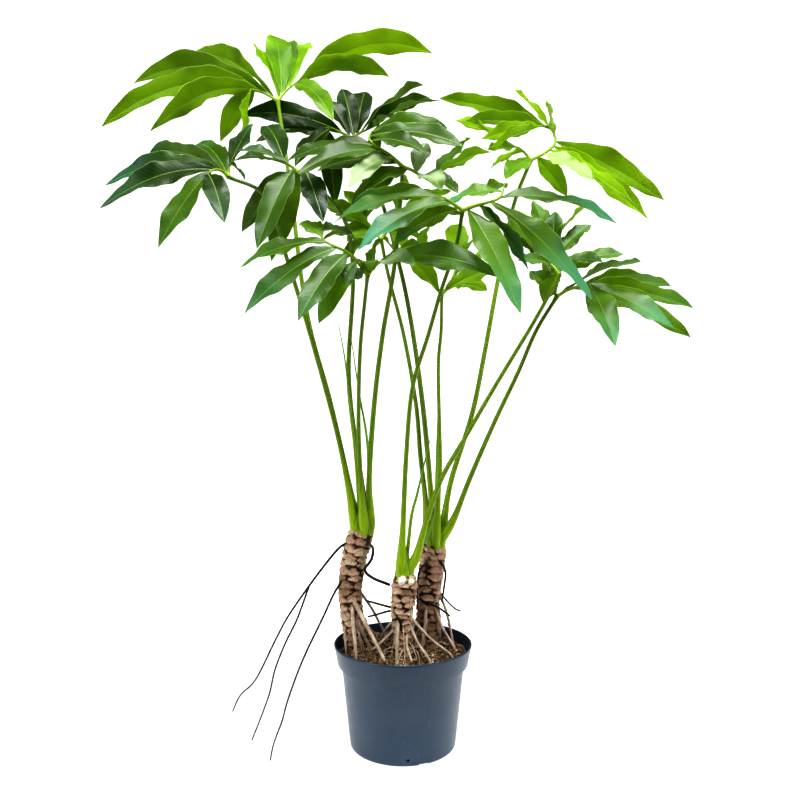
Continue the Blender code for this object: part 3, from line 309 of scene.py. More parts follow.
TRUNKS = {
    "left": TrunkPlan(
        "trunk_left",
        line=((-8, 0.3, 12.5, 1.5), (-8.2, 0.2, 16, 1.8), (-8.9, 0, 22, 2), (-9.2, 0, 26.5, 2.1),
              (-8.7, 0, 31, 2.2), (-7.8, 0, 34.8, 2.3)),
        top=(-7.1, 0, 36.8), top_radius=2.2, plates=5, pitch=0.0126, scarred_from=0.15,
        prop_roots=(
            RootPlan(((-8.8, -1.4, 25.6), (-5.9, -3.8, 20.9), (-3.3, -5.8, 16.6),
                      (-2.7, -6.1, 14.2)), 3.19, 2.32),
            RootPlan(((-8.8, -1.5, 24.4), (-8.4, -3, 20.4), (-7.9, -4.4, 16.6),
                      (-7.8, -4.8, 14.2)), 2.97, 2.16),
            RootPlan(((-8.2, -1.6, 22.6), (-6.9, -1.5, 19.2), (-5.6, -0.8, 16.6),
                      (-5.1, -0.6, 14.2)), 2.53, 1.84),
            RootPlan(((-9.6, -0.8, 22.4), (-10, -1.2, 19), (-9.6, -1.6, 13.6)), 2.09, 1.52),
            RootPlan(((-8, 1, 26.6), (-5.4, 3.6, 22), (-3.4, 5.6, 17.1), (-2.8, 6.2, 14.2)), 2.42, 1.76),
            RootPlan(((-8.2, 0.8, 25.2), (-7, 1.8, 20.8), (-6.1, 2.6, 17), (-5.8, 2.8, 14.2)), 3.3, 2.4),
        ),
        air_roots=(
            RootPlan(((-8.6, 0, 34.4), (-10.6, -0.6, 34.4), (-14.5, -0.4, 29.8), (-19.6, 0, 22.6),
                      (-22, 0, 18.3), (-25.7, 0, 10.9), (-28.4, 0.2, 8.1), (-29.8, 0.2, 5.2)), 1.6, 0.8),
            RootPlan(((-16.4, -0.2, 27.1), (-18.4, -0.6, 21.6), (-20.4, -1, 17.5), (-22.1, -1.5, 13.1),
                      (-22.9, -2, 9.4), (-24, -2.5, 6.2), (-25.8, -3, 1.6)), 1.3, 0.8),
            RootPlan(((-9.6, -0.6, 29.2), (-11.6, -1.4, 26.8), (-13.9, -2.2, 22), (-16.6, -3.5, 16.5),
                      (-18.3, -5, 12.3), (-19.4, -6.5, 9), (-20, -7, 6.6), (-21.2, -8, 3.4),
                      (-21.7, -8.5, 0.8)), 1.4, 0.8),
            RootPlan(((-7.2, -1, 35), (-5.2, -2.6, 34.6), (-5.4, -2.8, 32.4), (-6.6, -2.4, 30.6),
                      (-5.3, -2.3, 29.2), (-2.9, -2.2, 28.2), (-2.2, -2.2, 27.9)), 1.6, 1.8),
        ),
    ),
    "middle": TrunkPlan(
        "trunk_middle",
        line=((0.5, -3.3, 12.5, 1.3), (0.4, -3.4, 16, 1.5), (-0.2, -3.6, 22, 1.8), (0.1, -3.6, 26, 2.1),
              (0.3, -3.5, 28.6, 2.2)),
        top=(0.2, -3.5, 30), top_radius=1.75, plates=5, pitch=0.0106, scarred_from=0.02,
        prop_roots=(
            RootPlan(((-0.8, -3.2, 22.8), (-2.6, -1.8, 20.6), (-3.7, 0.8, 18), (-4, 2.4, 15)), 2.09, 1.52),
            RootPlan(((-0.9, -4.2, 21.4), (-4.2, -4.1, 18.2), (-6.2, -3.9, 16.6),
                      (-6.8, -3.9, 14.6)), 2.09, 1.52),
            RootPlan(((-0.8, -4.6, 22.8), (-1, -5.9, 19.4), (-1, -6.6, 16.6), (-1, -6.8, 14.2)), 2.86, 2.08),
            RootPlan(((0.6, -4.6, 20.4), (0.7, -6, 18.2), (1.4, -6.8, 16.6), (1.6, -7, 14.4)), 2.09, 1.52),
            RootPlan(((0.9, -4.2, 22.4), (2.6, -5.3, 18.8), (4.3, -6, 16.6), (5, -6.3, 14.6)), 2.09, 1.52),
            RootPlan(((1, -3.8, 23.2), (4.6, -4.2, 19.4), (8, -4.4, 16.8), (9, -4.5, 15.2)), 2.09, 1.52),
        ),
        air_roots=(
            RootPlan(((-0.8, -3.3, 24.2), (-2.4, -3, 24.4), (-4.3, -2.6, 24.8), (-6.4, -2, 25.2)), 1.5, 1.2),
            RootPlan(((-0.8, -3.5, 24), (-2.6, -3.6, 23.8), (-4.4, -3.4, 23.2), (-6, -3, 22.7)), 1.4, 1.1),
        ),
        stubs=(
            ((0, -4.5, 28.3), (-0.1, -0.6, 0.8), 6.2),
            ((0.9, -4.1, 28), (0.3, -0.6, 0.74), 5.2),
        ),
    ),
    "right": TrunkPlan(
        "trunk_right",
        line=((4.7, 2.4, 12.5, 1.8), (4.7, 2.3, 16, 2), (4.4, 2, 23, 2.1), (4.7, 2, 27, 2.2),
              (5.4, 2, 32, 2.3)),
        top=(5.7, 2, 34), top_radius=2.15, plates=5, pitch=0.0124, scarred_from=0.45,
        prop_roots=(
            RootPlan(((5.2, 0.8, 24.4), (6.9, -0.2, 20), (8.9, -1, 16.8), (9.5, -1.2, 15)), 2.53, 1.84),
            RootPlan(((5.8, 1.8, 26.6), (7.4, 1.4, 23.2), (8.3, 1.3, 19.8), (8.8, 1.2, 16.8),
                      (8.9, 1.2, 14.4)), 2.42, 1.76),
            RootPlan(((4.2, 0.6, 24.6), (3.8, -0.6, 20.4), (3.3, -0.9, 17.1), (3.2, -0.9, 13.6)), 2.42, 1.76),
            RootPlan(((5.6, 3.4, 25.4), (6.6, 5.4, 20.6), (6.7, 6.5, 17.1), (6.6, 6.6, 13.6)), 3.3, 2.4),
            RootPlan(((4.2, 3.6, 26), (3, 5.8, 20.6), (1.6, 7.8, 17.1), (1.4, 8, 13.6)), 3.08, 2.24),
            RootPlan(((3.2, 2.2, 22.4), (1.9, 2.6, 19), (0.9, 2.8, 17.1), (0.7, 2.8, 13.6)), 2.53, 1.84),
        ),
        air_roots=(
            RootPlan(((5.2, 0.6, 32.4), (4.2, -0.9, 31.6), (2.9, -1.5, 30.2), (2.5, -1.4, 27.2),
                      (2.6, -1.4, 23.4)), 1.5, 1),
            RootPlan(((3.6, 0.8, 23.8), (4.6, -0.4, 24.2), (6.2, -0.2, 23.5), (8.2, 0.3, 21.9)), 1.5, 1.1),
            RootPlan(((6.2, 0.6, 31.8), (7.4, -0.5, 30), (7.2, -0.6, 27.4), (6.8, -0.4, 24.6)), 1.5, 1),
            RootPlan(((6.2, 2.6, 26), (7.8, 1.4, 24.2), (9.4, 1, 22.8), (10.2, 0.8, 22.6)), 1.2, 0.9),
        ),
    ),
}

SPEARS = (
    SpearPlan("spear_left_outer", "left", (-4.2, -1),
              ((-8, -1.3, 47.5), (-8.8, -1.6, 56), (-9.9, -1.8, 66), (-11.1, -1.8, 72.8)), 3.2),
    SpearPlan("spear_left_inner", "left", (4.2, 1),
              ((-6.1, 1.4, 46), (-6.4, 2.2, 53), (-7.8, 2.9, 61), (-9.2, 3.2, 70.5)), 3),
    SpearPlan("spear_middle", "middle", (3.5, 7.5),
              ((1.4, -2.9, 39.5), (2.4, -3, 43.5), (3.4, -3, 47.8), (4.7, -3, 53.2)), 3.4),
    SpearPlan("spear_right", "right", (0.5, 0.5),
              ((5.9, 2.1, 40), (6, 2.1, 47), (6.2, 2.1, 55), (6.4, 2.1, 62)), 3.2),
)


def linear(code: str) -> tuple[float, float, float, float]:
    """Turns an sRGB hex colour into linear values.

    Args:
        code: The colour as "#rrggbb".

    Returns:
        Red, green, blue and an alpha of 1.
    """
    parts = [int(code[i:i + 2], 16) / 255 for i in (1, 3, 5)]
    red, green, blue = (p / 12.92 if p <= 0.04045 else ((p + 0.055) / 1.055) ** 2.4 for p in parts)
    return (red, green, blue, 1.0)


def add_node(tree: NodeTree, kind: str, inputs: dict | None = None, **settings) -> Node:
    """Adds a node, makes its settings and fills its inputs.

    Args:
        tree: The shader or geometry tree.
        kind: The node's type.
        inputs: A value, or a socket to link, for each input by name or number.
        **settings: The node's own properties.

    Returns:
        The new node.
    """
    node = tree.nodes.new(kind)
    for name, value in settings.items():
        setattr(node, name, value)
    for key, value in (inputs or {}).items():
        if isinstance(value, NodeSocket):
            tree.links.new(value, node.inputs[key])
        else:
            node.inputs[key].default_value = value
    return node


@dataclass(frozen=True)
class Pattern:
    """Cloudy noise, and the mask that it makes.

    size is the width of its blotches in millimetres, layers how many finer ones lie over them, and stretch
    how much faster it changes along each axis. The mask rises from 0, where the noise is at start, to 1.
    """

    size: float
    layers: float
    start: float = 0.0
    full: float = 1.0
    stretch: Point = (1, 1, 1)


class Blend(Enum):
    """How a coat of colour meets the one beneath."""

    COVER = "MIX"
    DARKEN = "MULTIPLY"


@dataclass(frozen=True)
class Wash:
    """A coat of colour: its hex code, how much of it shows at most, the pattern it lies in, and its blend."""

    colour: str
    strength: float = 1.0
    pattern: Pattern | None = None
    blend: Blend = Blend.COVER


@dataclass(frozen=True)
class Relief:
    """Fine roughness: its pattern, how far it stands out in millimetres, and how much of that shows."""

    pattern: Pattern
    depth: float
    strength: float


class Shader:
    """A material's node tree under construction, with short ways to write colour and number patterns."""

    def __init__(self, name: str) -> None:
        """Starts an empty material.

        Args:
            name: The material's name.
        """
        self.material = bpy.data.materials.new(name)
        self.material.use_nodes = True
        self.tree = self.material.node_tree
        self.tree.nodes.clear()
        self.place = add_node(self.tree, "ShaderNodeTexCoord").outputs["Object"]

    def value(self, name: str) -> NodeSocket:
        """The number that the mesh keeps at each point under a name."""
        return add_node(self.tree, "ShaderNodeAttribute", attribute_name=name).outputs["Fac"]

    def math(self, operation: str, *values: object) -> NodeSocket:
        """One sum, product or other operation on sockets or numbers."""
        return add_node(self.tree, "ShaderNodeMath", dict(enumerate(values)), operation=operation).outputs[0]

    def ramp(self, value: NodeSocket, low: float, high: float) -> NodeSocket:
        """A smooth rise from 0 to 1 between two values, or a fall where low is above high.

        Args:
            value: What runs through the range.
            low: Where the result is 0.
            high: Where the result is 1.

        Returns:
            The result's socket.
        """
        ends = (low, high, 0.0, 1.0) if low < high else (high, low, 1.0, 0.0)
        limits = dict(zip(("From Min", "From Max", "To Min", "To Max"), ends))
        node = add_node(self.tree, "ShaderNodeMapRange", {"Value": value, **limits},
                        interpolation_type="SMOOTHSTEP")
        return node.outputs["Result"]

    def noise(self, pattern: Pattern) -> NodeSocket:
        """A pattern's noise, a number around 0.5."""
        place = add_node(self.tree, "ShaderNodeMapping", {"Vector": self.place, "Scale": pattern.stretch})
        return add_node(self.tree, "ShaderNodeTexNoise",
                        {"Vector": place.outputs[0], "Scale": 1 / (pattern.size * MM),
                         "Detail": pattern.layers}).outputs["Fac"]

    def mask(self, pattern: Pattern) -> NodeSocket:
        """Where a pattern's blotches lie, from 0 to 1."""
        return self.ramp(self.noise(pattern), pattern.start, pattern.full)

    def mix(self, share: object, first: object, second: object,
            blend: Blend = Blend.COVER) -> NodeSocket:
        """A blend of two colours.

        Args:
            share: How much of the second colour there is.
            first: A hex colour or a socket.
            second: A hex colour or a socket.
            blend: How the second meets the first.

        Returns:
            The colour's socket.
        """
        ends = [linear(end) if isinstance(end, str) else end for end in (first, second)]
        node = add_node(self.tree, "ShaderNodeMix", {0: share, 6: ends[0], 7: ends[1]}, data_type="RGBA",
                        blend_type=blend.value)
        return node.outputs[2]

    def lay(self, body: object, wash: Wash, where: object = None) -> NodeSocket:
        """Lays a coat of colour over another.

        Args:
            body: The colour beneath, a hex colour or a socket.
            wash: The coat.
            where: How far it covers, from 0 to 1; its own pattern, where it has one, thins that further.

        Returns:
            The colour's socket.
        """
        if wash.pattern is not None:
            mask = self.mask(wash.pattern)
            where = mask if where is None else self.math("MULTIPLY", where, mask)
        share = where if wash.strength == 1.0 else self.math("MULTIPLY", where, wash.strength)
        return self.mix(share, body, wash.colour, wash.blend)

    def bump(self, height: NodeSocket, millimetres: float, strength: float,
             under: NodeSocket | None = None) -> NodeSocket:
        """A normal that shows relief of the given depth.

        Args:
            height: The relief, from 0 to 1.
            millimetres: How high 1 stands over 0.
            strength: How much of the relief shows.
            under: A coarser relief's normal to lie on.

        Returns:
            The normal's socket.
        """
        inputs = {"Height": height, "Distance": millimetres * MM, "Strength": strength}
        if under is not None:
            inputs["Normal"] = under
        return add_node(self.tree, "ShaderNodeBump", inputs).outputs[0]

    def roughen(self, relief: Relief, under: NodeSocket | None = None) -> NodeSocket:
        """The normal of fine roughness, on its own or on a coarser relief's normal."""
        return self.bump(self.noise(relief.pattern), relief.depth, relief.strength, under)

    def uneven(self, middle: float, spread: float, pattern: Pattern) -> NodeSocket:
        """A number that varies with a pattern's noise, by half of spread either way."""
        return self.math("MULTIPLY_ADD", self.noise(pattern), spread, middle - spread / 2)

    def principled(self, **inputs: object) -> NodeSocket:
        """A Principled surface; an underscore in an input's name stands for a space."""
        named = {key.replace("_", " "): value for key, value in inputs.items()}
        return add_node(self.tree, "ShaderNodeBsdfPrincipled", named).outputs[0]

    def thin(self, surface: NodeSocket, share: object, **inputs: object) -> NodeSocket:
        """A surface that lets a share of the light through, as a Translucent one with the given inputs."""
        passing = add_node(self.tree, "ShaderNodeBsdfTranslucent", inputs).outputs[0]
        return add_node(self.tree, "ShaderNodeMixShader", {0: share, 1: surface, 2: passing}).outputs[0]

    def finish(self, surface: NodeSocket) -> Material:
        """Links the surface to the output and returns the material."""
        add_node(self.tree, "ShaderNodeOutputMaterial", {"Surface": surface})
        return self.material


class LeafSide(Enum):
    """Which face of a leaflet a material covers."""

    UPPER = "upper"
    UNDER = "under"


@dataclass(frozen=True)
class LeafFinish:
    """Living leaf tissue: its wax gives a soft gloss, and light shines through the blade as yellow green.

    The mesh's "tone" runs from a mature to a young leaf and also carries painted light and shade. Its shade
    value is painted shade that darkens a blade and holds light back, "sheen" a painted blue-grey sheen, its
    tip value a painted sea-green sheen toward the tip, and its glare value a painted pale glare.
    """

    side: LeafSide
    mature: str
    young: str
    # A painted blue-grey sheen over the blade.
    painted_sheen: Wash
    through: str
    through_young: str
    roughness: float
    shine_through: float
    shadow: Wash = Wash("#3f5c2a", 0.55, Pattern(60, 2, 0.40, 0.70), Blend.DARKEN)
    # Painted shade, laid where the mesh's shade value says.
    depth: Wash = Wash("#8aa068", 0.95, None, Blend.DARKEN)
    # A painted sea-green sheen toward the tip.
    sea_green_sheen: Wash = Wash("#4ba893", 0.8)
    # A painted pale glare over a whole blade.
    painted_glare: Wash = Wash("#b2c29c", 0.75, Pattern(50, 2, 0.25, 0.60))
    vein: Wash = Wash("#93b04c", 0.04)
    rib: Wash = Wash("#93b04c", 0.65)
    # A painted highlight along the blade's margin.
    edge: Wash = Wash("#b4cc80", 0.6)
    rib_glow: Wash = Wash("#6f8f2a", 0.5)
    skin: Relief = Relief(Pattern(18, 2), 0.5, 0.25)
    vein_spacing: float = 8.5
    vein_slant: float = 0.75
    rib_width: float = 0.0011
    rib_taper: float = 0.0007
    young_glow: float = 0.30
    # The painted shade at which no light passes through the blade.
    opaque_shade: float = 0.62

    def build(self) -> Material:
        """Builds the material for this side of the blade.

        Returns:
            The material.
        """
        draw = Shader(f"leaf_{self.side.value}_side")
        waxy = self.side is LeafSide.UPPER
        share, tone, painted_shade = draw.value("share"), draw.value("tone"), draw.value("painted_shade")
        off_rib = draw.math("ABSOLUTE", draw.value("across"))
        # tone mixes a mature and a young green and also carries painted light and shade: lit fronds lighter,
        # shaded ones darker.
        body = draw.lay(draw.mix(tone, self.mature, self.young), self.shadow)
        # Painted shade: darkens a blade as far as the mesh's shade value says.
        body = draw.lay(body, self.depth, painted_shade)
        # A painted blue-grey sheen.
        body = draw.lay(body, self.painted_sheen, draw.value("sheen"))
        # A painted sea-green sheen toward the tip.
        tip = draw.math("MULTIPLY", draw.value("tip_sheen"), draw.ramp(share, 0.45, 0.95))
        body = draw.lay(body, self.sea_green_sheen, tip)
        # A painted pale glare.
        body = draw.lay(body, self.painted_glare, draw.value("painted_glare"))
        slant = draw.math("SUBTRACT", draw.value("along"), draw.math("MULTIPLY", off_rib, self.vein_slant))
        wave = draw.math("SINE", draw.math("MULTIPLY", slant, 2 * math.pi / (self.vein_spacing * MM)))
        body = draw.lay(body, self.vein, draw.ramp(wave, 0.86, 1.0))
        rib_width = draw.math("MULTIPLY_ADD", share, -self.rib_taper, self.rib_width)
        rib = draw.ramp(draw.math("DIVIDE", off_rib, rib_width), 1.1, 0.5)
        body = draw.lay(body, self.rib, rib)
        # A painted highlight along the margin.
        body = draw.lay(body, self.edge, draw.ramp(draw.value("reach"), 0.955, 0.998))
        relief = draw.roughen(self.skin, draw.bump(wave, 0.12 if waxy else 0.2, 0.3))
        surface = draw.principled(Base_Color=body, Normal=relief, Coat_Roughness=0.22,
                                  Roughness=draw.uneven(self.roughness, 0.14, Pattern(40, 2)),
                                  Coat_Weight=0.04 if waxy else 0.0,
                                  Specular_IOR_Level=0.20 if waxy else 0.09)
        glow = draw.lay(draw.mix(tone, self.through, self.through_young), self.rib_glow, rib)
        # Painted shade also holds back the light that passes through.
        clear = draw.math("MULTIPLY", tone, draw.ramp(painted_shade, self.opaque_shade, 0.0))
        share_through = draw.math("MULTIPLY_ADD", clear, self.young_glow, self.shine_through)
        return draw.finish(draw.thin(surface, share_through, Color=glow, Normal=relief))


@dataclass(frozen=True)
class StalkFinish:
    """A leaf stalk's smooth green skin: waxy, with fine streaks along it, paler and yellower at its foot."""

    foot: str = "#a2c014"
    middle: str = "#66840c"
    top: str = "#48620a"
    young: Wash = Wash("#88ac0c", 0.7)
    streak: Wash = Wash("#2d4d0c", 0.35, Pattern(2.2, 2, 0.4, 0.75, (1, 1, 0.03)))
    fleck: Wash = Wash("#a9bd6a", 0.25, Pattern(5, 2, 0.66, 0.74, (1, 1, 0.35)))

    def build(self) -> Material:
        """Builds the stalks' material.

        Returns:
            The material.
        """
        draw = Shader("leaf_stalk_skin")
        share = draw.value("share")
        body = draw.mix(draw.ramp(share, 0.0, 0.30), self.foot, self.middle)
        body = draw.mix(draw.ramp(share, 0.45, 1.0), body, self.top)
        body = draw.lay(body, self.young, draw.value("tone"))
        body = draw.lay(draw.lay(body, self.streak), self.fleck)
        relief = draw.roughen(Relief(self.streak.pattern, 0.25, 0.5))
        return draw.finish(draw.principled(Base_Color=body, Roughness=0.38, Normal=relief, Coat_Weight=0.1,
                                           Coat_Roughness=0.3, Specular_IOR_Level=0.3))


@dataclass(frozen=True)
class SpearFinish:
    """A rolled new leaf: bright, thin and a little waxy, with a painted shadow line where its edge overlaps.

    The line winds round the roll by windings, the turns that it makes in a metre.
    """

    foot: str = "#9cc52a"
    tip: str = "#6d9d1c"
    # A painted shadow line where the rolled edge overlaps.
    seam_shadow: Wash = Wash("#4a6f10", 0.7)
    streak: Wash = Wash("#6f9a16", 0.3, Pattern(1.6, 2, 0.4, 0.8, (1, 1, 0.02)))
    through: str = "#b9dc3c"
    shine_through: float = 0.2
    windings: float = 3.0

    def build(self) -> Material:
        """Builds the new leaves' material.

        Returns:
            The material.
        """
        draw = Shader("rolled_new_leaf")
        body = draw.mix(draw.ramp(draw.value("share"), 0.1, 0.9), self.foot, self.tip)
        wound = draw.math("MULTIPLY_ADD", draw.value("along"), self.windings, draw.value("around"))
        # The painted shadow line winds round the roll.
        off_seam_shadow = draw.math("ABSOLUTE", draw.math("SUBTRACT", draw.math("FRACT", wound), 0.5))
        body = draw.lay(draw.lay(body, self.seam_shadow, draw.ramp(off_seam_shadow, 0.05, 0.0)), self.streak)
        relief = draw.roughen(Relief(self.streak.pattern, 0.2, 0.5))
        surface = draw.principled(Base_Color=body, Roughness=0.4, Normal=relief)
        return draw.finish(draw.thin(surface, self.shine_through, Color=linear(self.through)))


@dataclass(frozen=True)
class BarkFinish:
    """The trunk's corky skin: pale tan plates where leaves have dropped, in a dark, fibrous brown.

    The mesh's "scar" is 1 on a plate and "shade" picks its colour. "under" is 1 where the plate above shades
    it, "bundle" on the dots of its sap vessels, and "clean" where it hasn't weathered.
    """

    fissure: str = "#180e07"
    tan: str = "#d4bb9b"
    pink: str = "#c09a82"
    brown: str = "#86674d"
    rim: str = "#4a3222"
    fibre: Wash = Wash("#5b3f28", 1.0, Pattern(3.0, 4, 0.4, 0.7, (1, 1, 0.4)))
    stain: Wash = Wash("#86674d", 0.75, Pattern(6, 4, 0.46, 0.70))
    pale: Wash = Wash("#ecd9be", 0.6, Pattern(3.0, 3, 0.50, 0.75, (1, 1, 2.0)))
    crack: Wash = Wash("#4a3222", 0.7, Pattern(4.5, 6, 0.56, 0.66, (1, 1, 2.2)))
    overhung: Wash = Wash("#4a3222", 0.65)
    bundle: Wash = Wash("#6b452c", 0.35)
    cork: Relief = Relief(Pattern(3.2, 5), 1.4, 0.8)
    grain: Relief = Relief(Pattern(0.9, 3), 0.4, 0.5)
    weathered: float = 0.20

    def build(self) -> Material:
        """Builds the bark's material.

        Returns:
            The material.
        """
        draw = Shader("corky_bark")
        scar, shade = draw.value("scar"), draw.value("shade")
        plate = draw.mix(draw.ramp(shade, 0.0, 0.55), self.tan, self.pink)
        plate = draw.mix(draw.ramp(shade, 0.60, 1.0), plate, self.brown)
        for wash in (self.stain, self.pale, self.crack):
            plate = draw.lay(plate, wash)
        plate = draw.lay(plate, self.overhung, draw.value("under"))
        worn = draw.math("MULTIPLY_ADD", draw.value("clean"), 1 - self.weathered, self.weathered)
        rimmed = draw.mix(draw.ramp(scar, 0.02, 0.25), draw.lay(self.fissure, self.fibre), self.rim)
        rimmed = draw.lay(rimmed, Wash(self.brown, 0.8), draw.ramp(scar, 0.22, 0.50))
        body = draw.mix(draw.math("MULTIPLY", draw.ramp(scar, 0.42, 0.80), worn), rimmed, plate)
        body = draw.lay(body, self.bundle, draw.ramp(draw.value("bundle"), 0.45, 0.85))
        relief = draw.roughen(self.grain, draw.roughen(self.cork))
        return draw.finish(draw.principled(Base_Color=body, Roughness=0.62, Normal=relief,
                                           Specular_IOR_Level=0.4))


@dataclass(frozen=True)
class RootFinish:
    """Woody roots. Prop roots are dry and grey-tan; roots in the air are nearly black and a bit shiny."""

    name: str
    main: str
    pale: str
    dark: str
    roughness: float
    dry: Pattern = Pattern(9, 3, 0.35, 0.68, (1, 1, 0.35))
    dirty: Pattern = Pattern(4, 4, 0.55, 0.78, (1, 1, 0.7))
    skin: Relief = Relief(Pattern(1.6, 4, stretch=(1, 1, 0.6)), 0.5, 0.7)

    def build(self) -> Material:
        """Builds one kind of root's material.

        Returns:
            The material.
        """
        draw = Shader(self.name)
        body = draw.lay(self.main, Wash(self.pale, 1.0, self.dry))
        body = draw.lay(body, Wash(self.dark, 1.0, self.dirty))
        body = draw.lay(body, Wash(self.dark, 0.4), draw.ramp(draw.value("share"), 0.75, 1.0))
        return draw.finish(draw.principled(Base_Color=body, Roughness=self.roughness,
                                           Normal=draw.roughen(self.skin), Specular_IOR_Level=0.35))


@dataclass(frozen=True)
class CutFinish:
    """The fresh, wet white flesh of a cut stalk, with the dots of its sap vessels, counted in a metre."""

    flesh: str = "#f3f0e2"
    vessel: Wash = Wash("#b9b07c", 0.35)
    drying: Wash = Wash("#d8cfa6", 0.3, Pattern(4, 2, 0.5, 0.8))
    vessels: float = 900.0

    def build(self) -> Material:
        """Builds the cut face's material.

        Returns:
            The material.
        """
        draw = Shader("cut_stalk_flesh")
        cells = add_node(draw.tree, "ShaderNodeTexVoronoi", {"Vector": draw.place, "Scale": self.vessels})
        body = draw.lay(self.flesh, self.vessel, draw.ramp(cells.outputs["Distance"], 0.25, 0.05))
        return draw.finish(draw.principled(Base_Color=draw.lay(body, self.drying), Roughness=0.5))


@dataclass(frozen=True)
class PotFinish:
    """Injection-moulded polypropylene, slate blue-grey and satin, with a fine grain and dusty scuffs."""

    body: str = "#213a50"
    cloud: Wash = Wash("#34495d", 0.35, Pattern(55, 3, 0.35, 0.75))
    scuff: Wash = Wash("#7d8790", 0.1, Pattern(7, 4, 0.60, 0.78, (1, 1, 0.25)))
    # A mould's grain is near 0.1 mm; it is drawn at 0.8 mm, because a finer one wouldn't show.
    grain: Relief = Relief(Pattern(0.8, 2), 0.06, 0.4)

    def build(self) -> Material:
        """Builds the pot's material.

        Returns:
            The material.
        """
        draw = Shader("moulded_polypropylene")
        body = draw.lay(draw.lay(self.body, self.cloud), self.scuff)
        return draw.finish(draw.principled(Base_Color=body, Roughness=draw.uneven(0.31, 0.14, Pattern(12, 3)),
                                           Specular_IOR_Level=0.5, Normal=draw.roughen(self.grain)))


@dataclass(frozen=True)
class SoilFinish:
    """Moist peat with coir: nearly black, crumbly and matt, with paler fibres."""

    peat: str = "#40301f"
    crumb: Wash = Wash("#7f6950", 1.0, Pattern(5, 5, 0.4, 0.7))
    fibre: Wash = Wash("#8a6a48", 0.6, Pattern(2.2, 3, 0.64, 0.72, (0.3, 1.4, 1)))
    crumbs: Relief = Relief(Pattern(3.5, 6), 2.5, 1.0)

    def build(self) -> Material:
        """Builds the soil's material.

        Returns:
            The material.
        """
        draw = Shader("peat_potting_soil")
        body = draw.lay(draw.lay(self.peat, self.crumb), self.fibre)
        return draw.finish(draw.principled(Base_Color=body, Roughness=0.95, Normal=draw.roughen(self.crumbs),
                                           Specular_IOR_Level=0.2))


@dataclass(frozen=True)
class ChipFinish:
    """Composted bark chips in the soil: reddish to grey brown, dry on top; "tint" picks a chip's colour."""

    dark: str = "#584433"
    middle: str = "#a58a6c"
    pale: str = "#dcc8aa"
    rot: Wash = Wash("#24160d", 1.0, Pattern(2, 3, 0.5, 0.8))
    grain: Relief = Relief(Pattern(1.2, 3), 0.5, 0.8)

    def build(self) -> Material:
        """Builds the chips' material.

        Returns:
            The material.
        """
        draw = Shader("composted_bark_chips")
        tint = draw.value("tint")
        body = draw.mix(draw.ramp(tint, 0.1, 0.6), self.dark, self.middle)
        body = draw.mix(draw.ramp(tint, 0.72, 0.95), body, self.pale)
        return draw.finish(draw.principled(Base_Color=draw.lay(body, self.rot), Roughness=0.85,
                                           Normal=draw.roughen(self.grain)))


def grow_tree(name: str, sockets: tuple[tuple[str, str], ...]) -> tuple[NodeTree, Node]:
    """Starts a geometry tree with one geometry input and output and the named inputs.

    Args:
        name: The tree's name.
        sockets: The name and socket type of each further input.

    Returns:
        The tree and its input node.
    """
    tree = bpy.data.node_groups.new(name, "GeometryNodeTree")
    tree.interface.new_socket("Geometry", in_out="INPUT", socket_type="NodeSocketGeometry")
    tree.interface.new_socket("Geometry", in_out="OUTPUT", socket_type="NodeSocketGeometry")
    for label, kind in sockets:
        tree.interface.new_socket(label, in_out="INPUT", socket_type=kind)
    return tree, tree.nodes.new("NodeGroupInput")


def end_tree(tree: NodeTree, grown: NodeSocket, finish: NodeSocket) -> None:
    """Realizes what a tree has grown, gives it its material and links it to the output.

    Args:
        tree: The tree.
        grown: The geometry.
        finish: The material input's socket.
    """
    real = add_node(tree, "GeometryNodeRealizeInstances", {"Geometry": grown}).outputs[0]
    dressed = add_node(tree, "GeometryNodeSetMaterial", {"Geometry": real, "Material": finish}).outputs[0]
    add_node(tree, "NodeGroupOutput", {"Geometry": dressed})


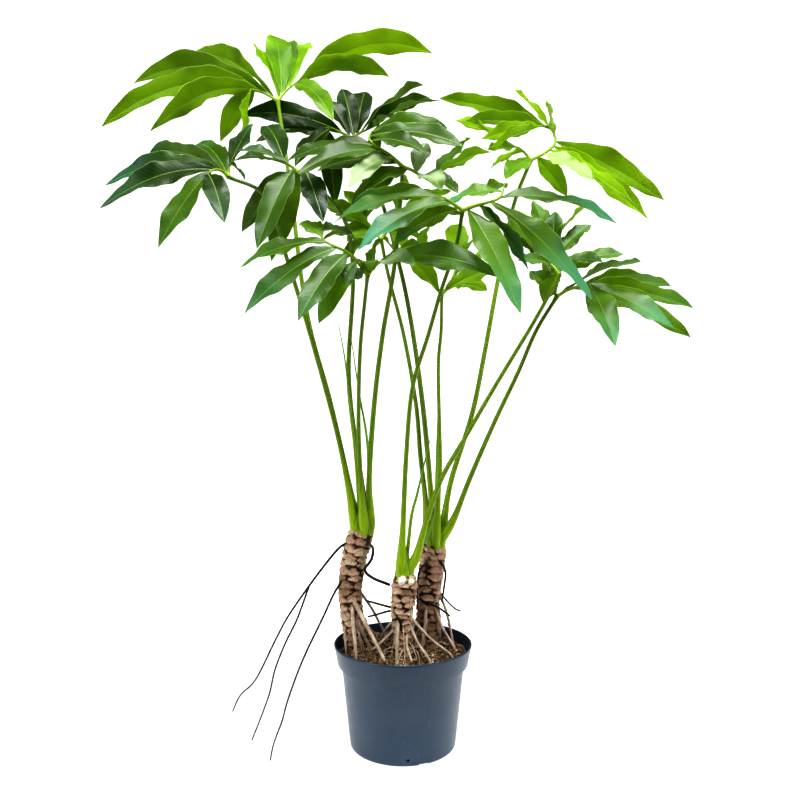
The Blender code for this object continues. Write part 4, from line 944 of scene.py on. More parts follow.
def stem_tree() -> NodeTree:
    """The tree that sweeps a round skin along each path of a mesh, as thick as its "thickness" says.

    Returns:
        The tree.
    """
    tree, given = grow_tree("stem along a path", (
        ("Ring Spacing", "NodeSocketFloat"), ("Sides", "NodeSocketInt"), ("Knobs", "NodeSocketFloat"),
        ("Knob Size", "NodeSocketFloat"), ("Finish", "NodeSocketMaterial")))
    path = add_node(tree, "GeometryNodeMeshToCurve", {"Mesh": given.outputs["Geometry"]}).outputs[0]
    thick = add_node(tree, "GeometryNodeInputNamedAttribute", {"Name": "thickness"},
                     data_type="FLOAT").outputs[0]
    path = add_node(tree, "GeometryNodeResampleCurve",
                    {"Curve": path, "Length": given.outputs["Ring Spacing"]}, mode="LENGTH").outputs[0]
    place = add_node(tree, "GeometryNodeSplineParameter")
    for name, source in (("along", "Length"), ("share", "Factor")):
        path = add_node(tree, "GeometryNodeStoreNamedAttribute",
                        {"Geometry": path, "Name": name, "Value": place.outputs[source]},
                        data_type="FLOAT", domain="POINT").outputs[0]
    ring = add_node(tree, "GeometryNodeCurvePrimitiveCircle",
                    {"Resolution": given.outputs["Sides"], "Radius": 1.0}).outputs[0]
    ring = add_node(tree, "GeometryNodeStoreNamedAttribute",
                    {"Geometry": ring, "Name": "around", "Value": place.outputs["Factor"]},
                    data_type="FLOAT", domain="POINT").outputs[0]
    skin = add_node(tree, "GeometryNodeCurveToMesh",
                    {"Curve": path, "Profile Curve": ring, "Scale": thick, "Fill Caps": True}).outputs[0]
    position = add_node(tree, "GeometryNodeInputPosition").outputs[0]
    waves = add_node(tree, "ShaderNodeTexNoise", {"Vector": position, "Scale": given.outputs["Knob Size"],
                                                  "Detail": 2.0}).outputs["Fac"]
    centred = add_node(tree, "ShaderNodeMath", {0: waves, 1: 0.5}, operation="SUBTRACT").outputs[0]
    depth = add_node(tree, "ShaderNodeMath", {0: centred, 1: given.outputs["Knobs"]},
                     operation="MULTIPLY").outputs[0]
    out = add_node(tree, "GeometryNodeInputNormal").outputs[0]
    push = add_node(tree, "ShaderNodeVectorMath", {0: out, "Scale": depth}, operation="SCALE").outputs[0]
    skin = add_node(tree, "GeometryNodeSetPosition", {"Geometry": skin, "Offset": push}).outputs[0]
    skin = add_node(tree, "GeometryNodeSetShadeSmooth", {"Geometry": skin}).outputs[0]
    end_tree(tree, skin, given.outputs["Finish"])
    return tree


def scatter_tree() -> NodeTree:
    """The tree that strews flattened chips over the faces of a mesh that look up.

    Returns:
        The tree.
    """
    tree, given = grow_tree("chips on the soil", (
        ("Density", "NodeSocketFloat"), ("Smallest", "NodeSocketFloat"), ("Largest", "NodeSocketFloat"),
        ("Seed", "NodeSocketInt"), ("Finish", "NodeSocketMaterial")))
    normal = add_node(tree, "GeometryNodeInputNormal").outputs[0]
    lift = add_node(tree, "ShaderNodeSeparateXYZ", {0: normal}).outputs["Z"]
    upward = add_node(tree, "FunctionNodeCompare", {0: lift, 1: 0.5}, data_type="FLOAT",
                      operation="GREATER_THAN").outputs[0]
    spots = add_node(tree, "GeometryNodeDistributePointsOnFaces",
                     {"Mesh": given.outputs["Geometry"], "Selection": upward,
                      "Density": given.outputs["Density"], "Seed": given.outputs["Seed"]}).outputs[0]
    chip = add_node(tree, "GeometryNodeMeshIcoSphere", {"Radius": 1.0, "Subdivisions": 1}).outputs["Mesh"]
    chip = add_node(tree, "GeometryNodeTransform", {"Geometry": chip, "Scale": (1.0, 0.62, 0.36)}).outputs[0]
    turn = add_node(tree, "FunctionNodeRandomValue",
                    {0: (-0.6, -0.6, 0.0), 1: (0.6, 0.6, 2 * math.pi), "Seed": 3}, data_type="FLOAT_VECTOR")
    size = add_node(tree, "FunctionNodeRandomValue",
                    {2: given.outputs["Smallest"], 3: given.outputs["Largest"], "Seed": 5}, data_type="FLOAT")
    strewn = add_node(tree, "GeometryNodeInstanceOnPoints",
                      {"Points": spots, "Instance": chip, "Rotation": turn.outputs[0],
                       "Scale": size.outputs[1]}).outputs[0]
    tint = add_node(tree, "FunctionNodeRandomValue", {2: 0.0, 3: 1.0, "Seed": 8}, data_type="FLOAT")
    strewn = add_node(tree, "GeometryNodeStoreNamedAttribute",
                      {"Geometry": strewn, "Name": "tint", "Value": tint.outputs[1]},
                      data_type="FLOAT", domain="INSTANCE").outputs[0]
    end_tree(tree, strewn, given.outputs["Finish"])
    return tree


def put_in_scene(name: str, data: ID) -> Object:
    """Adds an object with the given mesh, light or camera to the scene.

    Args:
        name: Its name.
        data: What it shows.

    Returns:
        The object.
    """
    thing = bpy.data.objects.new(name, data)
    bpy.context.scene.collection.objects.link(thing)
    return thing


def grown(name: str, mesh: Mesh, tree: NodeTree, **inputs: object) -> Object:
    """Runs a geometry tree on a mesh and keeps the result as a plain mesh.

    Args:
        name: The new piece's name.
        mesh: What the tree starts from.
        tree: The geometry tree.
        **inputs: The tree's inputs; an underscore stands for a space.

    Returns:
        The new object, with no modifier left on it.
    """
    seed = put_in_scene(f"{name}_seed", mesh)
    nodes = seed.modifiers.new("Grow", "NODES")
    nodes.node_group = tree
    keys = {item.name: item.identifier for item in tree.interface.items_tree if item.in_out == "INPUT"}
    for key, value in inputs.items():
        nodes[keys[key.replace("_", " ")]] = value
    bpy.context.view_layer.update()
    shown = seed.evaluated_get(bpy.context.evaluated_depsgraph_get())
    made = bpy.data.meshes.new_from_object(shown)
    made.name = name
    bpy.data.objects.remove(seed)
    return put_in_scene(name, made)


def settle(piece: Object, node: str) -> None:
    """Puts a finished piece on the part's one body, in place of a solid, and reports it.

    Args:
        piece: The finished piece.
        node: The solid that it stands for.
    """
    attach(piece, "root")
    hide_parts(node)
    LOG.info("%s: %d faces for %s", piece.name, len(piece.data.polygons), node)


def smooth_line(points: list[Vector], spacing: float) -> list[Vector]:
    """Points about the given spacing apart on a Catmull-Rom curve through the given ones.

    Args:
        points: The points to pass through; a fourth value is carried along as a radius.
        spacing: The distance between the new points.

    Returns:
        The new points, with the given ends.
    """
    ends = [points[0] * 2 - points[1], *points, points[-1] * 2 - points[-2]]
    line = []
    for a, b, c, d in zip(ends, ends[1:], ends[2:], ends[3:]):
        count = max(1, round((c - b).length / spacing))
        for i in range(count):
            t = i / count
            line.append(0.5 * (2 * b + (c - a) * t + (2 * a - 5 * b + 4 * c - d) * t ** 2
                               + (3 * b - a - 3 * c + d) * t ** 3))
    return [*line, points[-1].copy()]


def along(line: list[Vector], share: float) -> Vector:
    """A point on a line.

    Args:
        line: The line's points.
        share: How far along its length, from 0 to 1.

    Returns:
        The point.
    """
    steps = [(b - a).length for a, b in zip(line, line[1:])]
    left = share * sum(steps)
    for a, b, step in zip(line, line[1:], steps):
        if left <= step:
            return a.lerp(b, left / step)
        left -= step
    return line[-1].copy()


def centimetres(point: Point) -> Vector:
    """A point given in centimetres, as a vector in metres."""
    return Vector(point[:3]) * CM


@dataclass
class PathSet:
    """Paths that one geometry tree sweeps: points with a thickness, and values that hold for a whole path."""

    points: list[Vector] = field(default_factory=list)
    thickness: list[float] = field(default_factory=list)
    tone: list[float] = field(default_factory=list)
    edges: list[tuple[int, int]] = field(default_factory=list)

    def add(self, line: list[Vector], radii: list[float], tone: float = 0.0) -> None:
        """Adds one path.

        Args:
            line: Its points.
            radii: The radius at each.
            tone: The value that its material reads as "tone".
        """
        first = len(self.points)
        self.points += line
        self.thickness += radii
        self.tone += [tone] * len(line)
        self.edges += [(first + i, first + i + 1) for i in range(len(line) - 1)]

    def mesh(self, name: str) -> Mesh:
        """The paths as a mesh of edges that keeps the values.

        Args:
            name: The mesh's name.

        Returns:
            The mesh.
        """
        made = bpy.data.meshes.new(name)
        made.from_pydata([tuple(p) for p in self.points], self.edges, [])
        for key, values in (("thickness", self.thickness), ("tone", self.tone)):
            made.attributes.new(key, "FLOAT", "POINT").data.foreach_set("value", values)
        return made


def spread(count: int, start: float, end: float, power: float = 1.0) -> list[float]:
    """Values from start to end, evenly apart where power is 1, and changing late where it is more."""
    return [start + (end - start) * (i / (count - 1)) ** power for i in range(count)]


@dataclass
class Sheet:
    """Closed shells gathered into one mesh: points, faces, a material number a face, and values a point."""

    points: list[np.ndarray] = field(default_factory=list)
    faces: list[np.ndarray] = field(default_factory=list)
    slots: list[np.ndarray] = field(default_factory=list)
    values: dict[str, list[np.ndarray]] = field(default_factory=dict)
    count: int = 0

    def add(self, points: np.ndarray, faces: np.ndarray, slots: np.ndarray, **values: np.ndarray) -> None:
        """Adds one shell.

        Args:
            points: Its points, one a row.
            faces: Its quads, one a row.
            slots: The material number of each face.
            **values: One number a point for each name.
        """
        self.points.append(points)
        self.faces.append(faces + self.count)
        self.slots.append(slots)
        for key, value in values.items():
            self.values.setdefault(key, []).append(np.broadcast_to(value, len(points)))
        self.count += len(points)

    def build(self, name: str, finishes: list[Material]) -> Object:
        """Makes the object.

        Args:
            name: Its name.
            finishes: The materials that the slots number.

        Returns:
            The object, shaded smooth.
        """
        mesh = bpy.data.meshes.new(name)
        faces = np.concatenate(self.faces)
        mesh.from_pydata(np.concatenate(self.points).tolist(), [], faces.tolist())
        mesh.polygons.foreach_set("material_index", np.concatenate(self.slots).astype(np.int32))
        for key, values in self.values.items():
            column = np.concatenate(values).astype(np.float32)
            mesh.attributes.new(key, "FLOAT", "POINT").data.foreach_set("value", column)
        for finish in finishes:
            mesh.materials.append(finish)
        mesh.shade_smooth()
        return put_in_scene(name, mesh)


def lattice_faces(rows: int, columns: int, first: int = 0, wrap: bool = False) -> np.ndarray:
    """The quads of a lattice of points numbered row by row.

    Args:
        rows: The number of rows of points.
        columns: The number of points in a row.
        first: The number of the first point.
        wrap: Whether each row closes into a ring.

    Returns:
        One quad a row, which faces (along the columns) x (along the rows).
    """
    i, j = np.meshgrid(np.arange(rows - 1), np.arange(columns if wrap else columns - 1), indexing="ij")
    k = (j + 1) % columns
    row, above = i * columns + first, (i + 1) * columns + first
    return np.stack([row + j, row + k, above + k, above + j], axis=-1).reshape(-1, 4)


def ring_points(radius: float | np.ndarray, height: float, turn: np.ndarray) -> np.ndarray:
    """Points on a level ring, of one radius or of one for each of the given turns."""
    return np.stack([radius * np.cos(turn), radius * np.sin(turn), np.full(len(turn), height)], axis=1)


def weld(thing: Object, outwards: bool = False) -> None:
    """Merges the points that lie on one another, as where a lattice closes.

    Args:
        thing: The object.
        outwards: Whether its faces are turned to point outwards after that.
    """
    work = bmesh.new()
    work.from_mesh(thing.data)
    bmesh.ops.remove_doubles(work, verts=work.verts, dist=MM / 100)
    if outwards:
        bmesh.ops.recalc_face_normals(work, faces=work.faces)
    work.to_mesh(thing.data)
    work.free()


@dataclass(frozen=True)
class Leaflet:
    """One narrow blade: an arched, folded sheet with a raised rib, waved edges and a long point.

    columns are where the mesh has lines of points, as shares of the way from the rib strip to the edge. A
    pair of numbers is the range of a random draw, and spin is in degrees.
    """

    root: Vector
    tip: Vector
    width: float
    tilt: float
    phase: float
    arch: float
    seed: int
    # pale leaflets carry a painted glare, and shaded ones painted shade.
    pale: bool = False
    shaded: bool = False
    rows: int = 34
    end_rows: float = 0.35
    bow_upright: float = 0.06
    bow_level: float = 0.13
    droop_turn: float = 0.6
    rise: float = 1.0
    fall: float = 0.95
    least_half: float = 0.0009
    least_taper: float = 0.0006
    fold: float = math.radians(17)
    wave: float = 0.21
    waves: float = 1.7
    ripple: float = 0.065
    ripples: tuple[float, float] = (4.0, 6.5)
    cup: float = 0.10
    spin: float = 9
    spin_middle: float = 0.3
    blade: float = 0.0009
    edge_thin: float = 0.5
    rib_strip: float = 0.0014
    widest_strip: float = 0.35
    rib_drop: float = 0.0011
    rib_fade: float = 0.8
    rib_half: float = 0.9 * MM
    tones: tuple[float, float] = (-0.16, 0.22)
    sheens: tuple[float, float] = (0.2, 1.4)
    tip_sheens: tuple[float, float] = (0.2, 1.0)
    # How much painted shade a shaded leaflet carries, and how the others' random painted shade is drawn.
    shaded_depth: float = 0.6
    shade_power: float = 1.5
    young_clear: float = 0.8
    columns: tuple[float, ...] = (0.0, 0.17, 0.38, 0.60, 0.80, 0.93, 1.0)

    def half_width(self, share: np.ndarray) -> np.ndarray:
        """Half the blade's width along its length.

        Args:
            share: The shares of the length.

        Returns:
            Half the width at each.
        """
        widest = self.rise / (self.rise + self.fall)
        peak = widest ** self.rise * (1 - widest) ** self.fall
        half = self.width / 2 * share ** self.rise * (1 - share) ** self.fall / peak
        return np.maximum(half, self.least_half - self.least_taper * share)

    def frames(self, share: np.ndarray) -> tuple[np.ndarray, np.ndarray, np.ndarray, float]:
        """The middle line and its frame.

        Args:
            share: The shares of the length.

        Returns:
            Points of the middle line, the ways across and out of the upper side there, and the line's length.
        """
        chord = self.tip - self.root
        level = Vector((chord.x, chord.y, 0))
        out = level.normalized() if level.length > MM else FRONT
        bow = self.arch * (self.bow_upright + self.bow_level * level.length / chord.length)
        bend = (self.root + self.tip) / 2 + UP * bow * chord.length
        facing = UP * math.cos(self.tilt) + FRONT * math.sin(self.tilt)
        facing -= out * (chord.z / chord.length) * self.droop_turn
        a, b, c = (np.array(p) for p in (self.root, bend, self.tip))
        t = share[:, None]
        middle = a * (1 - t) ** 2 + b * 2 * t * (1 - t) + c * t ** 2
        forward = (b - a) * (1 - t) + (c - b) * t
        forward /= np.linalg.norm(forward, axis=1)[:, None]
        across = np.cross(forward, np.array(facing))
        across /= np.linalg.norm(across, axis=1)[:, None]
        length = float(np.linalg.norm(np.diff(middle, axis=0), axis=1).sum())
        return middle, across, np.cross(across, forward), length

    def lift(self, draw: np.random.Generator, share: np.ndarray, reach: np.ndarray,
             wide: np.ndarray) -> np.ndarray:
        """How far the blade's middle surface stands over its flat shape: the fold, the waves and the cupping.

        Args:
            draw: The source of chance.
            share: Each row's share of the length.
            reach: Each point's share of the way out, below 0 on the left.
            wide: Each row's half width.

        Returns:
            The height of each point.
        """
        sign, far = np.sign(reach), np.abs(reach)
        turn = 2 * math.pi * (self.waves * share + self.phase)
        lift = wide * far * math.sin(self.fold) + self.wave * wide * far ** 1.5 * np.sin(turn[:, None] + sign)
        beat = draw.uniform(*self.ripples, 2)
        start = draw.uniform(0, 2 * math.pi, 2)
        for k, which in enumerate((-1, 1)):
            fine = np.sin(2 * math.pi * beat[k] * share + start[k])[:, None]
            lift += np.where(sign == which, self.ripple * wide * far ** 3 * fine, 0.0)
        return lift - self.cup * wide * far ** 3

    def shell(self, width: int) -> tuple[np.ndarray, np.ndarray]:
        """The faces that close an upper and a lower lattice of points into one shell.

        Args:
            width: The number of points in a row.

        Returns:
            The quads, and each one's material: 0 on the upper side, 1 elsewhere.
        """
        size = self.rows * width
        upper = lattice_faces(self.rows, width)
        under = lattice_faces(self.rows, width, size)[:, ::-1]
        last = np.arange(self.rows - 1) * width
        left = np.stack([last, last + width, last + width + size, last + size], axis=1)
        right = left[:, ::-1] + width - 1
        row = np.arange(width - 1)
        foot = np.stack([row, row + size, row + 1 + size, row + 1], axis=1)
        point = foot[:, ::-1] + size - width
        faces = np.concatenate([upper, under, left, right, foot, point])
        return faces, np.concatenate([np.zeros(len(upper)), np.ones(len(faces) - len(upper))])

    def grow(self, sheet: Sheet, plan: FrondPlan) -> None:
        """Adds the blade to a sheet as one closed shell.

        Args:
            sheet: Where it goes; slot 0 is the upper side and slot 1 the under side.
            plan: The frond that it grows on.
        """
        draw = np.random.default_rng(self.seed)
        even = np.linspace(0, 1, self.rows)
        share = (1 - self.end_rows) * even + self.end_rows * (0.5 - 0.5 * np.cos(math.pi * even))
        middle, across, normal, length = self.frames(share)
        half = self.half_width(share)
        inner = np.clip(self.rib_strip / half, 0.0, self.widest_strip)[:, None]
        side = inner + (1 - inner) * np.array(self.columns)
        reach = np.concatenate([-side[:, ::-1], np.zeros((self.rows, 1)), side], axis=1)
        far, away = np.abs(reach), reach * half[:, None]
        lift = self.lift(draw, share, reach, half[:, None])
        spin = math.radians(draw.uniform(-self.spin, self.spin)) * (share - self.spin_middle)
        bent = across * np.cos(spin)[:, None] + normal * np.sin(spin)[:, None]
        stand = normal * np.cos(spin)[:, None] - across * np.sin(spin)[:, None]
        surface = (middle[:, None, :] + bent[:, None, :] * (away * math.cos(self.fold))[:, :, None]
                   + stand[:, None, :] * lift[:, :, None])
        thick = self.blade / 2 * (1 - self.edge_thin * far ** 2)
        rib = self.rib_drop * (1 - self.rib_fade * share)[:, None] * np.exp(-(away / self.rib_half) ** 2)
        top = surface + stand[:, None, :] * thick[:, :, None]
        low = surface - stand[:, None, :] * (thick + rib)[:, :, None]
        width = reach.shape[1]
        twice = {key: np.tile(value.ravel(), 2) for key, value in
                 {"across": away, "reach": far, "share": np.repeat(share, width),
                  "along": np.repeat(share * length, width)}.items()}
        # tone also carries painted light and shade.
        tone = plan.tone + draw.uniform(*self.tones)
        # Painted sheen: blue-grey over the blade and sea green toward the tip.
        sheen = plan.sheen * draw.uniform(*self.sheens)
        tip_sheen = plan.tip_sheen * draw.uniform(*self.tip_sheens)
        # depth is painted shade: random, and less on young fronds.
        depth = draw.uniform(0, 1) ** self.shade_power * (1 - self.young_clear * plan.tone)
        sheet.add(np.concatenate([top.reshape(-1, 3), low.reshape(-1, 3)]), *self.shell(width), **twice,
                  tone=np.clip(tone, 0, 1), sheen=sheen, tip_sheen=tip_sheen, painted_glare=float(self.pale),
                  painted_shade=self.shaded_depth if self.shaded else depth)


@dataclass(frozen=True)
class Fronds:
    """The fronds: a stalk from a socket in the crown, a swollen fork, two curled arms and their leaflets.

    A pair such as sheath_spread holds where a swelling's middle lies along the stalk and how far it reaches.
    """

    stem: NodeTree
    upper: Material
    under: Material
    skin: Material
    socket_depth: float = 0.010
    straight_foot: float = 0.012
    foot_radius: float = 0.0052
    sheath_radius: float = 0.0090
    sheath_spread: tuple[float, float] = (0.022, 0.045)
    middle_radius: float = 0.0041
    top_radius: float = 0.0033
    knob_radius: float = 0.0046
    knob_spread: float = 0.007
    stalk_spacing: float = 0.012
    arm_spacing: float = 0.006
    leaflet_spacing: float = 0.030
    arm_root: float = 0.0030 * 1.25
    arm_base: float = 0.0030
    arm_tip: float = 0.0015
    arm_end: float = 0.0015 * 0.5
    arm_tone: float = 0.35
    slot_ring: float = 0.0145
    slot_edge: float = 0.0075
    first_leaflet: float = 0.08
    last_leaflet: float = 0.97
    blade_width: float = 0.027
    blade_widen: float = 0.130

    def stalk_path(self, plan: FrondPlan) -> tuple[list[Vector], list[float]]:
        """A stalk's path, from its socket to the fork: sheathed at the foot, slim above, swollen at the fork.

        Args:
            plan: The frond.

        Returns:
            The centre line's points and the radius at each.
        """
        crown, turn = TRUNKS[plan.crown], math.radians(plan.slot)
        off_axis = min(self.slot_ring, crown.top_radius * CM - self.slot_edge)
        foot = centimetres(crown.top) + Vector((math.cos(turn), math.sin(turn), 0)) * off_axis
        bends = [foot + UP * self.straight_foot, *(centimetres(p) for p in (*plan.stalk, plan.fork))]
        line = [foot - UP * self.socket_depth, *smooth_line(bends, self.stalk_spacing)]
        travelled = np.cumsum([0.0, *((b - a).length for a, b in zip(line, line[1:]))])
        whole = travelled[-1]
        slim = np.interp(travelled / whole, [0, 0.5, 1],
                         [self.foot_radius, self.middle_radius * plan.girth, self.top_radius * plan.girth])
        middle, reach = self.sheath_spread
        sheath = (self.sheath_radius - self.foot_radius) * np.exp(-((travelled - middle) / reach) ** 2)
        sheath[travelled < self.socket_depth] = 0.0
        swelling = np.exp(-((whole - travelled) / self.knob_spread) ** 2)
        return line, list(slim + sheath + (self.knob_radius - self.top_radius) * plan.girth * swelling)

    def arm_line(self, plan: FrondPlan, arm: ArmPlan, spacing: float) -> list[Vector]:
        """The centre line of one arm, in points a spacing apart."""
        fork = centimetres(plan.fork)
        return smooth_line([fork, *(fork + centimetres(p) for p in arm.bends)], spacing)

    def leaflets(self, plan: FrondPlan) -> list[Leaflet]:
        """Every leaflet of a frond, in order along its arms.

        Args:
            plan: The frond.

        Returns:
            The leaflets.
        """
        draw = random.Random(plan.node)
        fork = centimetres(plan.fork)
        found = []
        for arm in plan.arms:
            line = self.arm_line(plan, arm, self.leaflet_spacing)
            last = len(arm.tips) - 1
            for i, reach in enumerate(arm.tips):
                root = along(line, self.first_leaflet + (self.last_leaflet - self.first_leaflet) * i / last)
                tip = fork + centimetres(reach)
                width = self.blade_width + self.blade_widen * (tip - root).length
                number = len(found)
                seed = 97 * number + len(plan.node)
                found.append(Leaflet(root, tip, width, math.radians(reach[3]), draw.random(), plan.arch, seed,
                                     number in plan.pale, number in plan.shaded))
        return found

    def stalk(self, plan: FrondPlan) -> Object:
        """Builds a frond's stalk with its two arms.

        Args:
            plan: The frond.

        Returns:
            The finished object.
        """
        paths = PathSet()
        # The frond's tone, which also carries painted light and shade, tints the stalk.
        paths.add(*self.stalk_path(plan), plan.tone)
        for arm in plan.arms:
            line = self.arm_line(plan, arm, self.arm_spacing)
            radii = np.interp(np.linspace(0, 1, len(line)), [0, 0.12, 0.9, 1],
                              [self.arm_root, self.arm_base, self.arm_tip, self.arm_end])
            paths.add(line, list(radii), min(1.0, plan.tone + self.arm_tone))
        return grown(f"{plan.node}_stalk", paths.mesh("stalk paths"), self.stem, Ring_Spacing=0.006,
                     Sides=14, Knobs=0.0004, Knob_Size=90.0, Finish=self.skin)

    def build(self) -> None:
        """Builds and dresses every frond."""
        for plan in FRONDS:
            settle(self.stalk(plan), plan.node)
            sheet = Sheet()
            for leaflet in self.leaflets(plan):
                leaflet.grow(sheet, plan)
            settle(sheet.build(f"{plan.node}_leaflets", [self.upper, self.under]), plan.node)


@dataclass(frozen=True)
class Spears:
    """The rolled new leaves, each drawn out to a fine point."""

    stem: NodeTree
    skin: Material
    socket_depth: float = 0.010
    straight_foot: float = 0.012
    spacing: float = 0.008
    point: float = 0.0006

    def build(self) -> None:
        """Builds and dresses every new leaf."""
        for plan in SPEARS:
            foot = centimetres(TRUNKS[plan.crown].top) + Vector((*plan.slot, 0)) * MM
            points = [foot + UP * self.straight_foot, *(centimetres(p) for p in plan.line)]
            line = [foot - UP * self.socket_depth, *smooth_line(points, self.spacing)]
            radii = np.interp(np.linspace(0, 1, len(line)), [0, 0.25, 0.55, 1],
                              [plan.radius, plan.radius * 0.95, plan.radius * 0.7, self.point / MM])
            paths = PathSet()
            paths.add(line, list(radii * MM))
            spear = grown(f"{plan.node}_leaf", paths.mesh("spear path"), self.stem, Ring_Spacing=0.006,
                          Sides=14, Knobs=0.0003, Knob_Size=120.0, Finish=self.skin)
            settle(spear, plan.node)


@dataclass(frozen=True)
class Trunks:
    """The trunks: bark ringed with leaf scars, prop roots into the soil, roots in the air, and cut stubs.

    heave and sway are crossed waves that warp the scars: each has its size, in metres or radians, its radians
    in a metre of height, and its waves round the trunk. A pair of numbers in rootlet_from is a range.
    """

    stem: NodeTree
    bark: Material
    prop: Material
    air: Material
    cut: Material
    skin: Material
    ring_spacing: float = 0.0011
    around: int = 120
    bulge: float = 0.0031
    bulge_middle: float = 0.95
    rough: float = 0.0008
    grit_turns: tuple[int, ...] = (3, 5, 8, 13, 21, 30)
    top_rounding: float = 0.012
    top_narrowing: float = 0.07
    heave: tuple[Point, ...] = ((0.0010, 150, 3), (0.0007, -330, 8))
    sway: tuple[Point, ...] = ((0.10, 260, 2), (0.07, 610, -5))
    row_turn: float = 0.35
    plate_nudge: tuple[float, float] = (0.18, 0.22)
    plate_bow: float = 0.0016
    root_spacing: float = 0.008
    root_skin: float = 1.15
    air_skin: float = 1.5
    rootlets: int = 14
    rootlet_from: tuple[float, float] = (0.165, 0.235)
    rootlet_foot: float = 0.160
    rootlet_limit: float = 0.100
    heart_stems: int = 7
    heart_inset: float = 0.0095
    stub_sides: int = 40
    stub_rings: tuple[tuple[float, float], ...] = (
        (0.0, 1.0), (0.012, 1.0), (0.0175, 0.97), (0.0190, 0.93), (0.0194, 0.86), (0.0196, 0.0))

    def surface(self, plan: TrunkPlan) -> Object:
        """The bark of one trunk, with its relief in the mesh.

        Args:
            plan: The trunk.

        Returns:
            The finished object.
        """
        line = smooth_line([Vector(p) * CM for p in (*plan.line, (*plan.top, plan.top_radius))],
                           self.ring_spacing)
        centre = np.array([p.xyz for p in line])
        radius = np.array([p.w for p in line])
        step = np.gradient(centre, axis=0)
        step /= np.linalg.norm(step, axis=1)[:, None]
        right = np.cross(np.cross(step, np.array([1.0, 0, 0])), step)
        right /= np.linalg.norm(right, axis=1)[:, None]
        right *= np.sign(right[:, :1])
        back = np.cross(step, right)
        up = np.concatenate([[0.0], np.cumsum(np.linalg.norm(np.diff(centre, axis=0), axis=1))])
        turn = np.linspace(0, 2 * math.pi, self.around, endpoint=False)
        height, angle = np.meshgrid(up, turn, indexing="ij")
        values = self.scars(plan, height, angle, up[-1])
        fade = np.clip((up[-1] - height) / self.top_rounding, 0, 1) ** 0.6
        out = (radius[:, None] * (1 - self.top_narrowing + self.top_narrowing * fade)
               + self.bulge * (values.pop("relief") - self.bulge_middle) * fade)
        out += self.rough * self.grit(height, angle) * fade
        points = (centre[:, None, :] + right[:, None, :] * (np.cos(angle) * out)[:, :, None]
                  + back[:, None, :] * (np.sin(angle) * out)[:, :, None])
        low = np.full((self.around, 3), centre[0])
        top = np.full((self.around, 3), centre[-1])
        faces = lattice_faces(len(line) + 2, self.around, wrap=True)
        sheet = Sheet()
        sheet.add(np.concatenate([low, points.reshape(-1, 3), top]), faces, np.zeros(len(faces)),
                  **{key: np.concatenate([v[0], v.ravel(), v[-1]]) for key, v in values.items()})
        thing = sheet.build(f"{plan.node}_bark", [self.bark])
        weld(thing)
        return thing

    def grit(self, height: np.ndarray, angle: np.ndarray) -> np.ndarray:
        """Uneven relief all over the bark, from a few crossed waves.

        Args:
            height: The height along the trunk of each point.
            angle: The turn of each point.

        Returns:
            A number about 0 for each point.
        """
        draw = np.random.default_rng(41)
        total = np.zeros_like(height)
        for turns in self.grit_turns:
            rise = draw.uniform(0.6, 1.6) * turns * 45
            total += np.sin(turns * angle + rise * height + draw.uniform(0, 6.28)) / turns ** 0.35
        return total / 2.2

    def scars(self, plan: TrunkPlan, height: np.ndarray, angle: np.ndarray,
              whole: float) -> dict[str, np.ndarray]:
        """Leaf scars laid like scales, each with its own size, lean and shade.

        Args:
            plan: The trunk.
            height: The height along the trunk of each point.
            angle: The turn of each point.
            whole: The trunk's length.

        Returns:
            "relief" and the values that the bark's material reads, each from 0 to 1.
        """
        draw = np.random.default_rng(len(plan.node) + plan.plates)
        rows = int(whole / plan.pitch) + 3
        nudge = draw.uniform(-1, 1, (rows, plan.plates, 4))
        relief = np.zeros_like(height)
        found = {key: np.zeros_like(height) for key in ("scar", "shade", "bundle", "under")}
        sway, heave = (sum(size * np.sin(height * rise + angle * turns) for size, rise, turns in waves)
                       for waves in (self.sway, self.heave))
        height_here, angle_here = height + heave, angle + sway
        nudge_round, nudge_up = self.plate_nudge
        for row in range(rows):
            for plate in range(plan.plates):
                dx, dz, size, shade = nudge[row, plate]
                middle = (plate + 0.5 * (row % 2) + nudge_round * dx) * 2 * math.pi / plan.plates
                middle += self.row_turn * row
                level = (row + nudge_up * dz) * plan.pitch
                # x and y run from -1 to 1 across and up a plate that narrows like a lens to both sides.
                x = (angle_here - middle + math.pi) % (2 * math.pi) - math.pi
                x = x / (math.pi / plan.plates * (1.10 + 0.18 * size))
                half_height = plan.pitch * (1 - 0.38 * np.clip(np.abs(x), 0, 1) ** 2) * (0.60 + 0.10 * size)
                y = (height_here - level - self.plate_bow * np.cos(2.2 * x)) / half_height
                far = (np.abs(x) ** 2.6 + np.abs(y) ** 2.2) ** (1 / 2.4)
                mask = np.clip((1.06 - far) / 0.36, 0, 1)
                mask = mask * mask * (3 - 2 * mask)
                # Its face stands out most at the lower lip, sinks in the middle and has fine steps.
                hollow = np.clip(1 - (x / 0.75) ** 2 - (y / 0.55) ** 2, 0, 1)
                stand = mask * (1 - 0.42 * y - 0.22 * hollow + 0.05 * np.sin(13 * y + 3 * x + 5 * shade))
                # Where plates overlap, the one that covers more gives the colours.
                over = mask > found["scar"]
                relief = np.maximum(relief, stand)
                found["scar"] = np.maximum(found["scar"], mask)
                found["shade"] = np.where(over, 0.5 + 0.5 * shade, found["shade"])
                dots = np.cos(9.5 * x) * np.clip(1 - (np.abs(y + 0.12) / 0.28) ** 2, 0, 1)
                found["bundle"] = np.where(over, np.clip(dots, 0, 1), found["bundle"])
                found["under"] = np.where(over, np.clip(y * 1.2 - 0.15, 0, 1), found["under"])
        clean = np.clip((height / whole - plan.scarred_from) / 0.22, 0, 1)
        return {"relief": relief, **found, "clean": clean}

